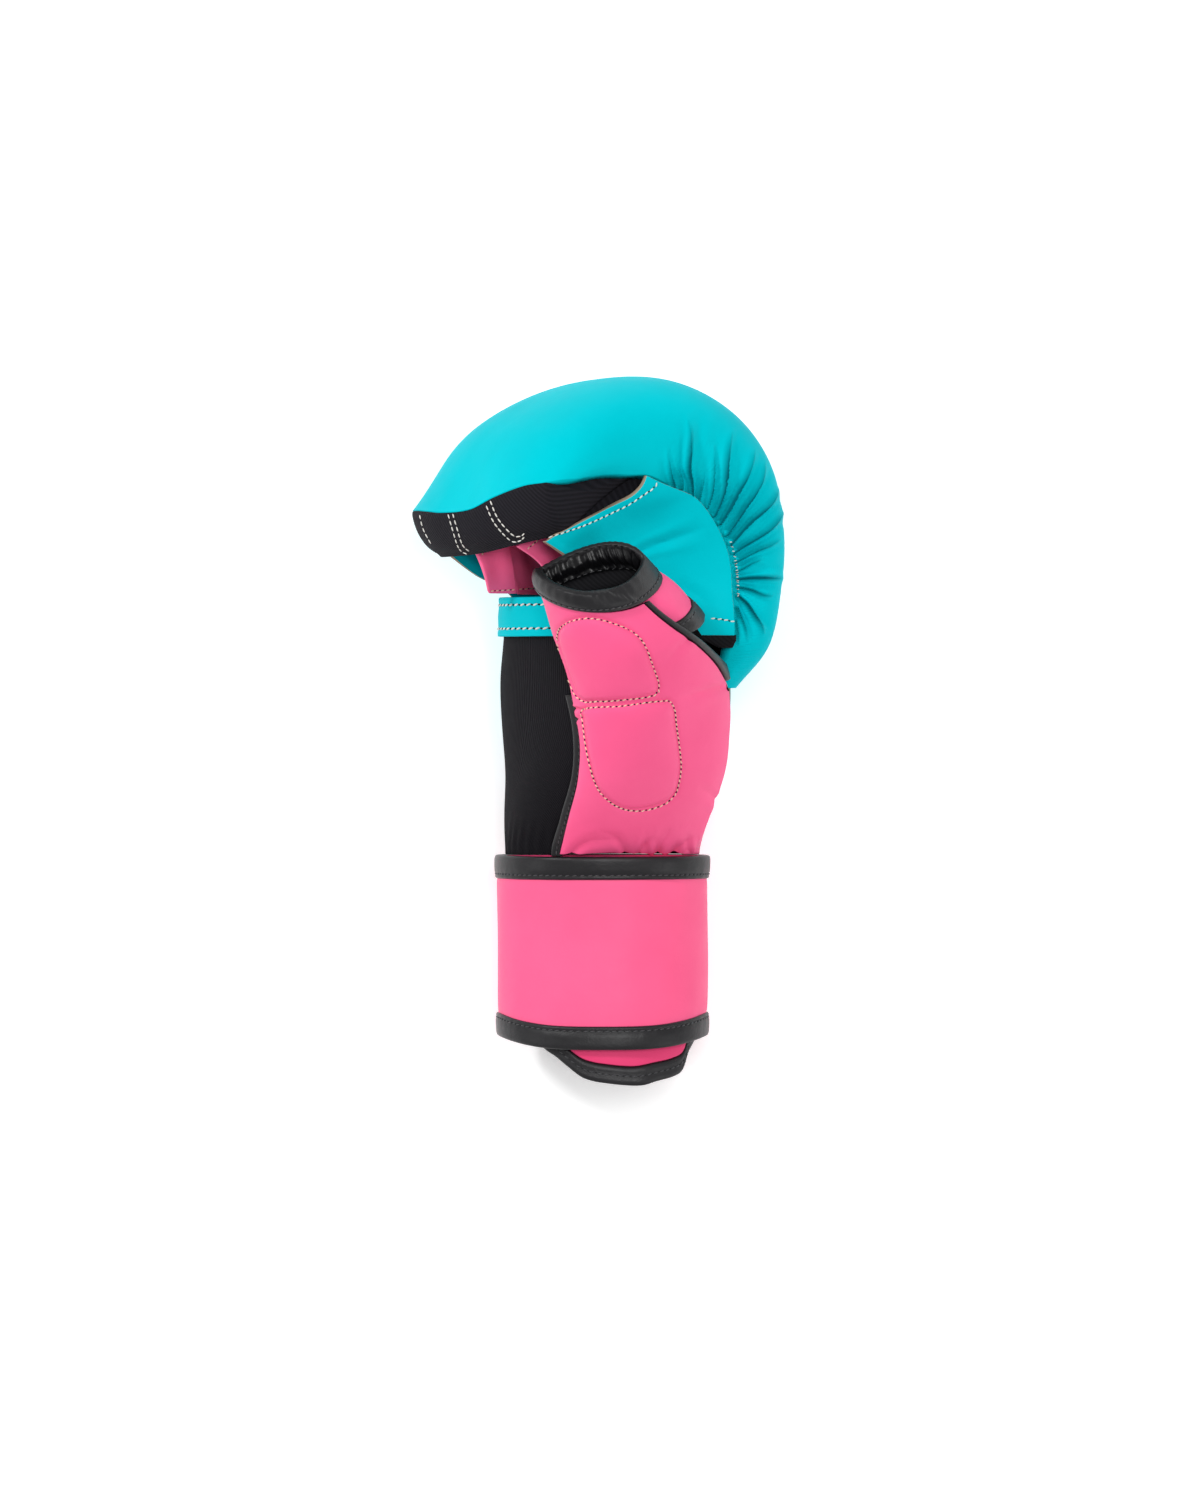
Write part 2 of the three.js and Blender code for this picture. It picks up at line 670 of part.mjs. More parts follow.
// A loop closes the tube behind the thumb's tip, and the panel's free edge beside it is bound.
const THUMB_LOOP_BOTTOM = 170.2;
const THUMB_LOOP_BINDING_BOTTOM = 165.7;
const LOOP_GAP = 1.05;
const LOOP_TOP_GAP = 1.8;
const THUMB_LOOP_FAR = 1.98;
const FREE_EDGE_BOTTOM = 151;
const FREE_EDGE_WIDTH = 0.035;
const FREE_EDGE_GAP = 0.008;
const FREE_EDGE_PROUD = 0.4;
const LOOP_BINDING_PROUD = 0.5;

// The loop comes out from under the bound free edge.
const loopNear = (y) =>
  readTable(THUMB_PANEL_RIGHT, "y", y).edge + 2 * FREE_EDGE_GAP + FREE_EDGE_WIDTH;

addPiece(
  "thumb_loop",
  wall(14, 4, (u, v, side) => {
    const y = mix(THUMB_LOOP_BOTTOM + LOOP_GAP, THUMB_PANEL_TOP - LOOP_TOP_GAP, v);
    return onThumb(mix(loopNear(y), THUMB_LOOP_FAR, u), y, side ? -LEATHER : 0);
  }),
  PINK,
  0.5,
);

addPiece(
  "thumb_loop_binding",
  wall(14, 2, (u, v, side) => {
    const y = mix(THUMB_LOOP_BINDING_BOTTOM, THUMB_LOOP_BOTTOM, v);
    return onThumb(mix(loopNear(y), THUMB_LOOP_FAR, u), y, side ? -LEATHER : LOOP_BINDING_PROUD);
  }),
  BLACK_BINDING,
  0.45,
);

addPiece(
  "thumb_edge_binding_back",
  wall(2, 8, (u, v, side) => {
    const y = mix(FREE_EDGE_BOTTOM, THUMB_PANEL_TOP, v);
    const start = readTable(THUMB_PANEL_RIGHT, "y", y).edge + FREE_EDGE_GAP;
    const height = side ? -THUMB_PANEL_THICK - FREE_EDGE_PROUD : FREE_EDGE_PROUD;
    return onThumb(start + FREE_EDGE_WIDTH * u, y, height);
  }),
  BLACK_BINDING,
  0.45,
);

// The thumb panel's other edge lies over the palm panel and is bound as well.
const PALM_SIDE_EDGE = [
  { y: 88, angle: 115.5 },
  { y: 103, angle: 123 },
  { y: 118, angle: 132 },
  { y: 132, angle: 140.5 },
  { y: 150, angle: 150.5 },
];
const PALM_SIDE_BINDING_ANGLE = 6;
const PALM_SIDE_BINDING_TOP = 149;
const PALM_SIDE_BINDING_LIFT = 0.8;
const PALM_SIDE_BINDING_THICK = 2.4;

addPiece(
  "thumb_edge_binding_palm",
  wall(2, 10, (u, v, side) => {
    const y = mix(STRAP_TOP + SEAM_GAP, PALM_SIDE_BINDING_TOP, v);
    const start = readTable(PALM_SIDE_EDGE, "y", y).angle;
    const height = PALM_SIDE_BINDING_LIFT + (side ? 0 : PALM_SIDE_BINDING_THICK);
    return onSleeve(start + PALM_SIDE_BINDING_ANGLE * u, y, height);
  }),
  BLACK_BINDING,
  0.45,
);

// The frame's origin is under the middle of the glove.
const middle = new THREE.Box3().setFromObject(glove).getCenter(new THREE.Vector3());
for (const mesh of glove.children) mesh.geometry.translate(-middle.x, -middle.y, 0);

export default glove;
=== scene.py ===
import bpy
import bmesh
import functools
import math
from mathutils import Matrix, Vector
from mathutils.bvhtree import BVHTree


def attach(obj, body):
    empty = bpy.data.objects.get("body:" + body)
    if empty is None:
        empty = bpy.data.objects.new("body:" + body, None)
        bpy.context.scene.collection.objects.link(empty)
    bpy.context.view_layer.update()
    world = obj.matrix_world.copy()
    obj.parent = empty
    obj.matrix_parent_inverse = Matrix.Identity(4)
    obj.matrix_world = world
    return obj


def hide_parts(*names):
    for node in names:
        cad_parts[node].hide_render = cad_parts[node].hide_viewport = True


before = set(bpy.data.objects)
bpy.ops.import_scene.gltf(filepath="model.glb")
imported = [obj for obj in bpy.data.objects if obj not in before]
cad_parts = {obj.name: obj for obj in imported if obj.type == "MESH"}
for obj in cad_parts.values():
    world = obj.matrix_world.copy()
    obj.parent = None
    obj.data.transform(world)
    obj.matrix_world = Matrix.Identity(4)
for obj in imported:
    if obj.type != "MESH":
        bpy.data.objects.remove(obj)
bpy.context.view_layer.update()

# The glove lies on a white table, and the camera looks straight down on it from far above.
# Large soft lamps stand at the upper left and at the right, as in a product photograph.
scene = bpy.context.scene
scene.view_settings.view_transform = "Standard"
scene.view_settings.look = "None"

camera_data = bpy.data.cameras.new("camera")
camera_data.lens = 300
camera_data.sensor_width = 36
camera_data.clip_end = 30
camera = bpy.data.objects.new("camera", camera_data)
camera.location = (0.0006, -0.0071, 4.815)
scene.collection.objects.link(camera)
scene.camera = camera

world = bpy.data.worlds.new("white_room")
world.use_nodes = True
room_light = world.node_tree.nodes["Background"]
room_light.inputs["Color"].default_value = (1, 1, 1, 1)
room_light.inputs["Strength"].default_value = 0.46
scene.world = world

LIT_POINT = Vector((0, 0, 0.06))
LAMPS = {
    "key_lamp": {"at": (-2.6, 2.3, 3.4), "size": 0.8, "watts": 98},
    "top_lamp": {"at": (0.5, 0.4, 3.6), "size": 1.0, "watts": 48},
    "side_lamp": {"at": (2.8, -1.2, 1.7), "size": 1.0, "watts": 14},
    "left_lamp": {"at": (-2.8, -0.7, 1.7), "size": 1.0, "watts": 9},
}
for lamp_name, lamp in LAMPS.items():
    lamp_data = bpy.data.lights.new(lamp_name, "AREA")
    lamp_data.size = lamp["size"]
    lamp_data.energy = lamp["watts"]
    lamp_object = bpy.data.objects.new(lamp_name, lamp_data)
    lamp_object.location = lamp["at"]
    lamp_object.rotation_euler = (LIT_POINT - lamp_object.location).to_track_quat("-Z", "Y").to_euler()
    scene.collection.objects.link(lamp_object)

table_mesh = bpy.data.meshes.new("table_top")
table_shape = bmesh.new()
bmesh.ops.create_grid(table_shape, x_segments=2, y_segments=2, size=4)
table_shape.to_mesh(table_mesh)
table_shape.free()
table_top = bpy.data.objects.new("table_top", table_mesh)
scene.collection.objects.link(table_top)


def blank_finish(name):
    """A new material, its node tree and its shader."""
    finish = bpy.data.materials.new(name)
    finish.use_nodes = True
    return finish, finish.node_tree, finish.node_tree.nodes["Principled BSDF"]


def fill_sockets(tree, node, **values):
    """Sets a shader node's sockets by name, and links those that are given an output."""
    for name, value in values.items():
        socket = node.inputs.get(name.replace("_", " "))
        if socket is None:
            setattr(node, name, value)
        elif isinstance(value, bpy.types.NodeSocket):
            tree.links.new(value, socket)
        else:
            socket.default_value = value
    return node


table_paint, table_tree, table_surface = blank_finish("table_paint")
fill_sockets(
    table_tree, table_surface, Base_Color=(0.95, 0.95, 0.95, 1), Roughness=0.85,
    Emission_Color=(1, 1, 1, 1), Emission_Strength=0.32,
)
table_mesh.materials.append(table_paint)


# The knuckle padding: a hooked roll of foam in a sewn turquoise leather shell. The leather is
# gathered where it is sewn to the side panels, so that folds fan out from the seam.
HAND_TURN = math.radians(34)
FIST_AXIS_HEIGHT = 64.5
MIDDLE = (-2.547, 135.086)

PADDING = [
    # at, ridge_b, ridge_y, inner_b, inner_y, seam_b, seam_y, half, edge
    (0, 44, 151.5, 41.5, 151.5, 27, 151.5, 35, 4),
    (0.14, 54.5, 168, 44, 166, 28, 165, 47, 7),
    (0.28, 60, 190, 41, 186, 27, 179, 50, 10),
    (0.42, 62.8, 215, 35, 206, 24.5, 193, 50, 10),
    (0.55, 57.5, 241, 27, 223, 18, 209, 50, 10),
    (0.67, 40, 260, 14, 235, 7, 222, 50, 10),
    (0.78, 12, 269.5, -4, 240, -10, 229.6, 50, 10),
    (0.87, -20, 265, -23, 238, -22, 229.2, 50, 10),
    (0.94, -50, 248.5, -45, 232.5, -32, 228.4, 50, 10),
    (1, -71, 220.5, -67, 220, -41, 226.5, 50, 10),
]
# How far the padding's edge over the fingertips swings along the hand, by its place across.
PADDING_HEM = [
    (-80, 0), (-73, 0), (-68, -1.2), (-62, -2.7), (-51, -3.2), (-42, 0), (-31, 2.3), (-23, 2), (-15, 1.4),
    (-5, 0), (60, 0),
]
PADDING_SQUARENESS = 2.5
PADDING_TUCK = math.radians(110)
LEATHER = 2.2
FIST_HEART = (0, 190, 64)

# Each gather starts at the seam and runs outward: its line seen from above, its depth at the seam,
# its width at the seam and at the end, and how much steeper its right side is than its left.
# A gather acts as far as FOLD_REACH of its widths. On the hidden side they are weaker.
FOLD_REACH = 4
LITTLE_SIDE_SHARE = 0.6
GATHERS = [
    (
        [(25.5, 228.0), (24.3, 232.6), (23.6, 237.1), (22.4, 242.8), (19.8, 248.9), (16.0, 257.3)],
        2.6, 1.7, 3.2, 0.5,
    ),
    ([(28.9, 226.9), (28.5, 230.7), (27.0, 233.7), (25.1, 236.7)], 1.8, 1.3, 2.0, 0.3),
    (
        [(32.3, 224.6), (31.9, 229.1), (30.8, 234.5), (31.2, 241.3), (31.5, 248.1), (30.0, 256.5)],
        2.8, 1.7, 3.4, -0.4,
    ),
    ([(35.3, 222.3), (36.1, 226.1), (36.9, 230.3), (36.5, 234.5)], 1.9, 1.3, 2.0, 0.3),
    ([(38.4, 219.6), (39.9, 224.6), (40.7, 230.7), (41.0, 237.5), (41.0, 244.3)], 2.2, 1.4, 2.6, 0.5),
    (
        [(41.0, 216.6), (42.9, 220.8), (44.8, 226.9), (45.6, 234.5), (46.7, 242.8), (48.6, 250.4)],
        2.6, 1.6, 3.4, 0.5,
    ),
    (
        [(43.3, 213.6), (46.4, 218.9), (49.8, 225.3), (53.2, 231.0), (55.5, 237.1), (57.0, 243.6)],
        2.8, 1.7, 3.6, 0.5,
    ),
    (
        [(46.0, 209.4), (49.0, 213.9), (52.1, 218.9), (56.2, 224.6), (59.3, 230.7), (60.8, 239.0)],
        2.5, 1.6, 3.4, 0.5,
    ),
    (
        [(47.5, 206.0), (50.9, 210.1), (54.3, 213.9), (58.9, 217.7), (63.1, 221.9), (66.5, 228.4)],
        2.7, 1.6, 3.4, 0.5,
    ),
    (
        [(48.6, 202.5), (52.4, 205.2), (57.0, 207.9), (61.9, 211.3), (65.7, 215.5), (68.8, 220.8)],
        2.5, 1.5, 3.2, 0.4,
    ),
    ([(49.4, 199.1), (53.6, 201.4), (58.1, 203.7), (62.7, 205.6), (67.6, 208.6)], 2.1, 1.4, 2.8, 0.4),
    ([(49.8, 195.7), (52.8, 197.2), (56.2, 199.1), (60.4, 200.3)], 1.9, 1.3, 2.2, 0.3),
    ([(50.2, 192.7), (55.1, 193.0), (61.2, 193.0), (68.0, 193.0)], 2.7, 1.6, 3.2, 0.3),
    ([(50.2, 189.6), (54.7, 188.5), (59.3, 186.6), (65.0, 186.2)], 2.2, 1.4, 2.6, 0.2),
    ([(50.5, 186.2), (53.6, 183.2), (56.2, 179.0), (58.9, 174.8), (60.4, 169.9)], 2.6, 1.6, 3.0, -0.3),
    ([(50.2, 181.6), (51.7, 177.5), (53.2, 172.9), (54.0, 167.6)], 2.0, 1.4, 2.6, -0.3),
    ([(49.8, 176.7), (50.5, 172.1), (50.5, 166.8)], 1.4, 1.3, 2.2, 0.2),
]


def mix(start, end, share):
    return start + (end - start) * share


def ease(start, end, value):
    share = min(1, max(0, (value - start) / (end - start)))
    return share * share * (3 - 2 * share)


def power(value, exponent):
    return math.copysign(abs(value) ** exponent, value)


def read_table(rows, value):
    """The columns after the first at a value of the first one, on a smooth curve through the rows."""
    last = len(rows) - 1
    row = 0
    while row < last - 1 and value > rows[row + 1][0]:
        row += 1
    before, start, end, after = rows[max(0, row - 1)], rows[row], rows[row + 1], rows[min(last, row + 2)]
    span = end[0] - start[0]
    t = min(1, max(0, (value - start[0]) / span))
    start_weight, end_weight = 2 * t**3 - 3 * t**2 + 1, 3 * t**2 - 2 * t**3
    start_pull = (t**3 - 2 * t**2 + t) * span / (end[0] - before[0])
    end_pull = (t**3 - t**2) * span / (after[0] - start[0])
    return [
        start[k] * start_weight + end[k] * end_weight
        + (end[k] - before[k]) * start_pull + (after[k] - start[k]) * end_pull
        for k in range(1, len(start))
    ]


def fist_point(b, y, c):
    """A point inside the fist, by its distances towards the back of the hand, along it and thumbward."""
    x = b * math.cos(HAND_TURN) + c * math.sin(HAND_TURN)
    z = FIST_AXIS_HEIGHT - b * math.sin(HAND_TURN) + c * math.cos(HAND_TURN)
    return Vector((x, y, max(0, z)))


@functools.lru_cache(maxsize=None)
def padding_row(at):
    return read_table(PADDING, at)


def arch(angle, full):
    lowest = power(math.cos(full), 2 / PADDING_SQUARENESS)
    to_seam = (1 - power(math.cos(angle), 2 / PADDING_SQUARENESS)) / (1 - lowest)
    return to_seam, power(math.sin(angle), 2 / PADDING_SQUARENESS)


def nose_place(b, y, c, at):
    nose = ease(0.6, 1, at)
    return b + 7 * nose * max(0, (-c - 10) / 40) ** 1.5, y + 0.07 * nose * c


def padding_face(at, across):
    """The smooth outer face of the padding. across is -1 at the little-finger seam and 1 at the other."""
    ridge_b, ridge_y, _, _, seam_b, seam_y, half, _ = padding_row(at)
    side = 1 if across >= 0 else -1
    to_seam, outward = arch(abs(across) * PADDING_TUCK, PADDING_TUCK)
    c = side * (half if side > 0 else half + 2.6) * outward
    gathered = ease(0.02, 0.12, at) * (1 - ease(0.7, 0.8, at))
    lowered = 1.1 * ease(0.45, 0.95, abs(across)) + 0.9 * ease(0.8, 0.98, abs(across))
    b, y = nose_place(mix(ridge_b, seam_b, to_seam), mix(ridge_y, seam_y, to_seam), c, at)
    point = fist_point(b, y, c - side * lowered * gathered)
    hem_weight = max(ease(0.4, 0.85, across) * ease(0.74, 0.8, at), ease(0.92, 1, at))
    if hem_weight > 0:
        point.y += hem_weight * read_table(PADDING_HEM, point.x)[0]
    return point


def padding_lining(at, across):
    """The face of the padding that lies over the hand."""
    _, _, inner_b, inner_y, seam_b, seam_y, half, edge = padding_row(at)
    to_seam, outward = arch(abs(across) * math.pi / 2, math.pi / 2)
    c = math.copysign((half - edge) * outward, across)
    turned = ease(0.5, 0.8, at)
    b = mix(inner_b, seam_b, to_seam) - LEATHER * to_seam * (1 - turned)
    y = mix(inner_y, seam_y, to_seam) - LEATHER * to_seam * turned * 0.6
    b, y = nose_place(b, y, c, at)
    return fist_point(b, y, c)


def spline(before, start, end, after, t):
    """The point at a share t of the way from start to end, on a smooth curve through all four."""
    return 0.5 * (
        2 * start + (end - before) * t + (2 * before - 5 * start + 4 * end - after) * t * t
        + (3 * start - before - 3 * end + after) * t**3
    )


def smooth_line(points, step):
    """Points a step apart on a smooth curve through the given ones."""
    corners = [Vector(p) for p in points]
    corners = [2 * corners[0] - corners[1], *corners, 2 * corners[-1] - corners[-2]]
    dense = []
    for before, start, end, after in zip(corners, corners[1:], corners[2:], corners[3:]):
        count = max(2, math.ceil((end - start).length / step * 4))
        dense += [spline(before, start, end, after, i / count) for i in range(count)]
    dense.append(corners[-2])
    line, carried = [dense[0]], 0
    for start, end in zip(dense, dense[1:]):
        carried += (end - start).length
        if carried >= step:
            line.append(end)
            carried = 0
    return line


def fold_lines(table):
    """The folds of a table as dense lines, each with the box outside which it has no effect."""
    lines = []
    for line, deepest, near, far, slant in table:
        points = smooth_line(line, 0.7)
        reach = FOLD_REACH * far
        box = (
            min(p.x for p in points) - reach, max(p.x for p in points) + reach,
            min(p.y for p in points) - reach, max(p.y for p in points) + reach,
        )
        lines.append((points, box, deepest, near, far, slant))
    return lines


gather_lines = fold_lines(GATHERS)


def gather_depth(x, y, lines=gather_lines):
    """How far the folds pull the leather in at a point seen from above. It swells between them."""
    depth = 0
    for points, box, deepest, near, far, slant in lines:
        if not (box[0] < x < box[1] and box[2] < y < box[3]):
            continue
        nearest, place = min(((p.x - x) ** 2 + (p.y - y) ** 2, i) for i, p in enumerate(points))
        last = len(points) - 1
        start, end = points[max(0, place - 1)], points[min(last, place + 1)]
        right = (end.x - start.x) * (y - start.y) - (end.y - start.y) * (x - start.x) < 0
        along = place / last
        width = mix(0.62 * near, 0.85 * far, along) * (1 - 0.7 * slant if right else 1 + 0.7 * slant)
        away = math.sqrt(nearest) / width
        if away > FOLD_REACH:
            continue
        fade = 1 - along**2
        valley = 1.5 * max(0, 1 - away / 1.4) ** 2.4
        shoulder = 0.34 * math.exp(-((away - 1.5) ** 2) * 2.6)
        depth += deepest * fade * (valley - shoulder)
    return depth


fold_depths = []


def padding_shell(at, across):
    """The outer face with its gathers. Their depths are kept for the shade that is painted into the folds."""
    point = padding_face(at, across)
    strength = ease(0.3, 0.5, abs(across)) * ease(0, 0.05, at) * (1 - ease(0.72, 0.8, at))
    if across < 0:
        strength *= LITTLE_SIDE_SHARE
    if strength == 0:
        fold_depths.append(0)
        return point
    seen = padding_face(at, abs(across))
    depth = strength * gather_depth(seen.x, seen.y)
    fold_depths.append(depth)
    if abs(depth) < 0.01:
        return point
    along = padding_face(min(1, at + 0.01), across) - padding_face(max(0, at - 0.01), across)
    over = padding_face(at, min(1, across + 0.01)) - padding_face(at, max(-1, across - 0.01))
    point = point + along.cross(over).normalized() * depth
    point.z = max(0, point.z)
    return point


# A share past this one is taken as the start of the next round of a closed strip.
NEARLY_ROUND = 0.999999


def to_scene(point):
    """A point of the glove's pattern, in millimetres, as its place in the scene, in metres."""
    return Vector((point[0] - MIDDLE[0], point[1] - MIDDLE[1], point[2])) / 1000


def shaped_grid(shape, u_steps, v_steps, surface, ring=False):
    """Adds a grid to a bmesh and lays it on a surface in millimetres. A ring is closed along u."""
    uv = shape.loops.layers.uv.verify()
    made = bmesh.ops.create_grid(shape, x_segments=u_steps, y_segments=v_steps, size=0.5)["verts"]
    faces = {face for vert in made for face in vert.link_faces}
    for face in faces:
        for loop in face.loops:
            loop[uv].uv = (loop.vert.co.x + 0.5, loop.vert.co.y + 0.5)
    for vert in made:
        u, v = vert.co.x + 0.5, vert.co.y + 0.5
        vert.co = to_scene(surface(0 if ring and u > NEARLY_ROUND else u, v))
    if ring:
        bmesh.ops.remove_doubles(shape, verts=made, dist=1e-7)
    return [face for face in faces if face.is_valid]


def face_away(shape, faces, inside):
    """Turns the faces so that they look away from a point on the glove's inner side, in millimetres."""
    middle = to_scene(inside)
    shape.normal_update()
    if sum(face.normal.dot(face.calc_center_median() - middle) * face.calc_area() for face in faces) < 0:
        bmesh.ops.reverse_faces(shape, faces=faces)


def finished(name, shape, materials, node=None, smooth=True):
    """Makes the object of a piece, rides it on the glove and lets it stand for its node."""
    mesh = bpy.data.meshes.new(name)
    shape.to_mesh(mesh)
    shape.free()
    for face in mesh.polygons:
        face.use_smooth = smooth
    for material in materials:
        mesh.materials.append(material)
    piece = bpy.data.objects.new(name, mesh)
    scene.collection.objects.link(piece)
    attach(piece, "root")
    if node:
        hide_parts(node)
    return piece


def node_of(tree, kind, **values):
    """Adds a shader node with its sockets set or linked."""
    return fill_sockets(tree, tree.nodes.new(kind), **values)


def ranged(tree, value, start, end, low=0.0, high=1.0):
    """A value moved from the range it has to the range it needs, and held inside it."""
    moved = node_of(
        tree, "ShaderNodeMapRange", Value=value, From_Min=start, From_Max=end, To_Min=low, To_Max=high
    )
    return moved.outputs["Result"]


def reckoned(tree, operation, first, second):
    """Two values brought together by a sum of the named kind."""
    result = node_of(tree, "ShaderNodeMath", operation=operation)
    tree.links.new(first, result.inputs[0])
    tree.links.new(second, result.inputs[1])
    return result.outputs["Value"]


def blended(tree, share, *colours):
    """Two colours mixed by a share. Each is three numbers or the output of another node."""
    paint = node_of(tree, "ShaderNodeMix", data_type="RGBA")
    tree.links.new(share, paint.inputs["Factor"])
    for socket, colour in zip(paint.inputs[6:8], colours):
        if isinstance(colour, bpy.types.NodeSocket):
            tree.links.new(colour, socket)
        else:
            socket.default_value = (*colour, 1)
    return paint.outputs[2]


def raised(tree, height, strength, distance, **below):
    """The surface's direction on a relief of the given height, over a coarser one as its Normal."""
    relief = node_of(
        tree, "ShaderNodeBump", Height=height, Strength=strength, Distance=distance, **below
    )
    return relief.outputs["Normal"]


def leather_finish(name, colour, shade, roughness=0.46, grain=0.09, crease=0.12, specular=0.1):
    """Smooth coated leather: a fine pebble grain, faint creases, and soft uneven dye."""
    finish, tree, surface = blank_finish(name)
    place = node_of(tree, "ShaderNodeTexCoord").outputs["Object"]
    dye = node_of(tree, "ShaderNodeTexNoise", Vector=place, Scale=28.0, Detail=4.0)
    worn = node_of(tree, "ShaderNodeTexNoise", Vector=place, Scale=90.0, Detail=3.0)
    pebble = node_of(tree, "ShaderNodeTexVoronoi", Vector=place, Scale=1500.0)
    wrinkle = node_of(
        tree, "ShaderNodeTexNoise", Vector=place, Scale=160.0, Detail=6.0, Roughness=0.6, Distortion=0.8
    )
    wrinkles = raised(tree, wrinkle.outputs["Fac"], crease, 0.0012)
    fill_sockets(
        tree, surface,
        Base_Color=blended(tree, ranged(tree, dye.outputs["Fac"], 0.3, 0.7), colour, shade),
        Roughness=ranged(tree, worn.outputs["Fac"], 0.0, 1.0, roughness - 0.07, roughness + 0.09),
        Normal=raised(tree, pebble.outputs["Distance"], grain, 0.0002, Normal=wrinkles),
        Specular_IOR_Level=specular,
    )
    return finish


# The length after which the wave texture repeats at a scale of 1, in metres.
WAVE_LENGTH = 0.314


def woven_black(name, base, pitch, across=False, strength=0.5):
    """Dull black cloth with a slanting twill or straight ribs of the given pitch in metres."""
    finish, tree, surface = blank_finish(name)
    places = node_of(tree, "ShaderNodeTexCoord").outputs
    weave = node_of(
        tree, "ShaderNodeTexWave", Vector=places["UV" if across else "Object"], wave_profile="SIN",
        bands_direction="X" if across else "DIAGONAL", Scale=WAVE_LENGTH / pitch,
        Distortion=0.0 if across else 0.6, Detail_Scale=2.0,
    ).outputs["Fac"]
    fuzz = node_of(tree, "ShaderNodeTexNoise", Vector=places["Object"], Scale=700.0, Detail=3.0)
    ribs = raised(tree, weave, strength, 0.0004)
    fill_sockets(
        tree, surface,
        Base_Color=blended(
            tree, weave, [channel * 0.75 for channel in base], [channel * 1.25 for channel in base]
        ),
        Normal=raised(tree, fuzz.outputs["Fac"], 0.3, 0.0003, Normal=ribs),
        Roughness=0.82,
        Specular_IOR_Level=0.08,
    )
    return finish


TURQUOISE = ((0.0, 0.54, 0.62), (0.0, 0.49, 0.565))
turquoise_leather = leather_finish("turquoise_leather", *TURQUOISE, 0.45, specular=0.01)
gathered_leather = leather_finish("gathered_leather", *TURQUOISE, 0.45, specular=0.01)
lining_cloth = woven_black("lining_cloth", (0.009, 0.009, 0.0105), 0.0009, strength=0.3)

# Fine creases run out from both seams of the gathered leather, and shade is painted into its folds, darker
# where they are deeper.
gather_tree = gathered_leather.node_tree
gather_surface = gather_tree.nodes["Principled BSDF"]
gather_map = node_of(gather_tree, "ShaderNodeTexCoord").outputs["UV"]
gather_split = node_of(gather_tree, "ShaderNodeSeparateXYZ", Vector=gather_map)
gather_stretch = node_of(gather_tree, "ShaderNodeMapping", Vector=gather_map, Scale=(150, 9, 1))
fine_creases = node_of(
    gather_tree, "ShaderNodeTexNoise", Vector=gather_stretch.outputs["Vector"], Scale=1.0, Detail=3.0,
    Distortion=0.4,
)
index_side = ranged(gather_tree, gather_split.outputs["Y"], 0.7, 0.88)
little_side = ranged(gather_tree, gather_split.outputs["Y"], 0.18, 0.07)
before_nose = ranged(gather_tree, gather_split.outputs["X"], 0.8, 0.7)
both_sides = reckoned(gather_tree, "MAXIMUM", index_side, little_side)
creased_area = reckoned(gather_tree, "MULTIPLY", both_sides, before_nose)
crease_height = reckoned(gather_tree, "MULTIPLY", fine_creases.outputs["Fac"], creased_area)
pebble_relief = gather_surface.inputs["Normal"].links[0].from_node
wrinkle_relief = pebble_relief.inputs["Normal"].links[0].from_node
gather_tree.links.new(raised(gather_tree, crease_height, 0.35, 0.0015), wrinkle_relief.inputs["Normal"])
gather_dye = gather_surface.inputs["Base Color"].links[0].from_socket
# Painted shade: the colour darkens towards a deep teal where the folds are deeper.
fold_reading = node_of(gather_tree, "ShaderNodeAttribute", attribute_name="fold")
painted_fold_shade = ranged(gather_tree, fold_reading.outputs["Fac"], 0.25, 2.2, 0.0, 0.95)
fill_sockets(
    gather_tree, gather_surface,
    Base_Color=blended(gather_tree, painted_fold_shade, gather_dye, (0.0, 0.1, 0.13)),
)

padding_shape = bmesh.new()
padding_steps = ((600, 280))


def padding_across(v):
    """Closer rows towards the seams, where the gathers are."""
    across = v / 0.36 - 1 if v < 0.36 else (v - 0.36) / 0.64
    return math.copysign(1 - (1 - abs(across)) ** 1.25 if abs(across) < 1 else 1, across)


outer_faces = shaped_grid(
    padding_shape, *padding_steps, lambda u, v: padding_shell(u, padding_across(v))
)
face_away(padding_shape, outer_faces, FIST_HEART)
# The fold depths are stored on the mesh for the shade painted into the folds.
fold_layer = padding_shape.verts.layers.float.new("fold")
for vert, depth in zip(padding_shape.verts, fold_depths):
    vert[fold_layer] = depth
inner_faces = shaped_grid(padding_shape, 170, 80, lambda u, v: padding_lining(u, padding_across(v)))
face_away(padding_shape, inner_faces, FIST_HEART)
bmesh.ops.reverse_faces(padding_shape, faces=inner_faces)
for face in inner_faces:
    face.material_index = 1
# The lining shows instead of the shell beside the index panel's upper corner.
padding_map = padding_shape.loops.layers.uv.verify()
for face in outer_faces:
    along, over = face.loops[0][padding_map].uv
    spot = face.verts[0].co * 1000
    beside_corner = spot.y + MIDDLE[1] < 229.6 and 5 < spot.x + MIDDLE[0] < 16
    if along > 0.7 and abs(padding_across(over)) > 0.86 and beside_corner:
        face.material_index = 1
open_edges = [edge for edge in padding_shape.edges if edge.is_boundary]
bmesh.ops.bridge_loops(padding_shape, edges=open_edges)
knuckle_padding = finished(
    "knuckle_padding", padding_shape, [gathered_leather, lining_cloth], "knuckle_pad"
)


# The cloth that covers the nose of the padding over the fingertips: black twill round a foam wedge.
# Double rows of white thread between the fingers hold the finger straps behind it.
LINING_HALF_WIDTH = 38.6


def roof_point(lip, start, share):
    return mix(lip[0], start[0], share), mix(lip[1], start[1] - 1.2, share) + 2 * math.sin(math.pi * share)


def across_at(c, half, full):
    """The share across the padding at which its arch reaches a thumbward distance."""
    return math.copysign(math.asin(min(1, abs(c) / half) ** (PADDING_SQUARENESS / 2)), c) / full


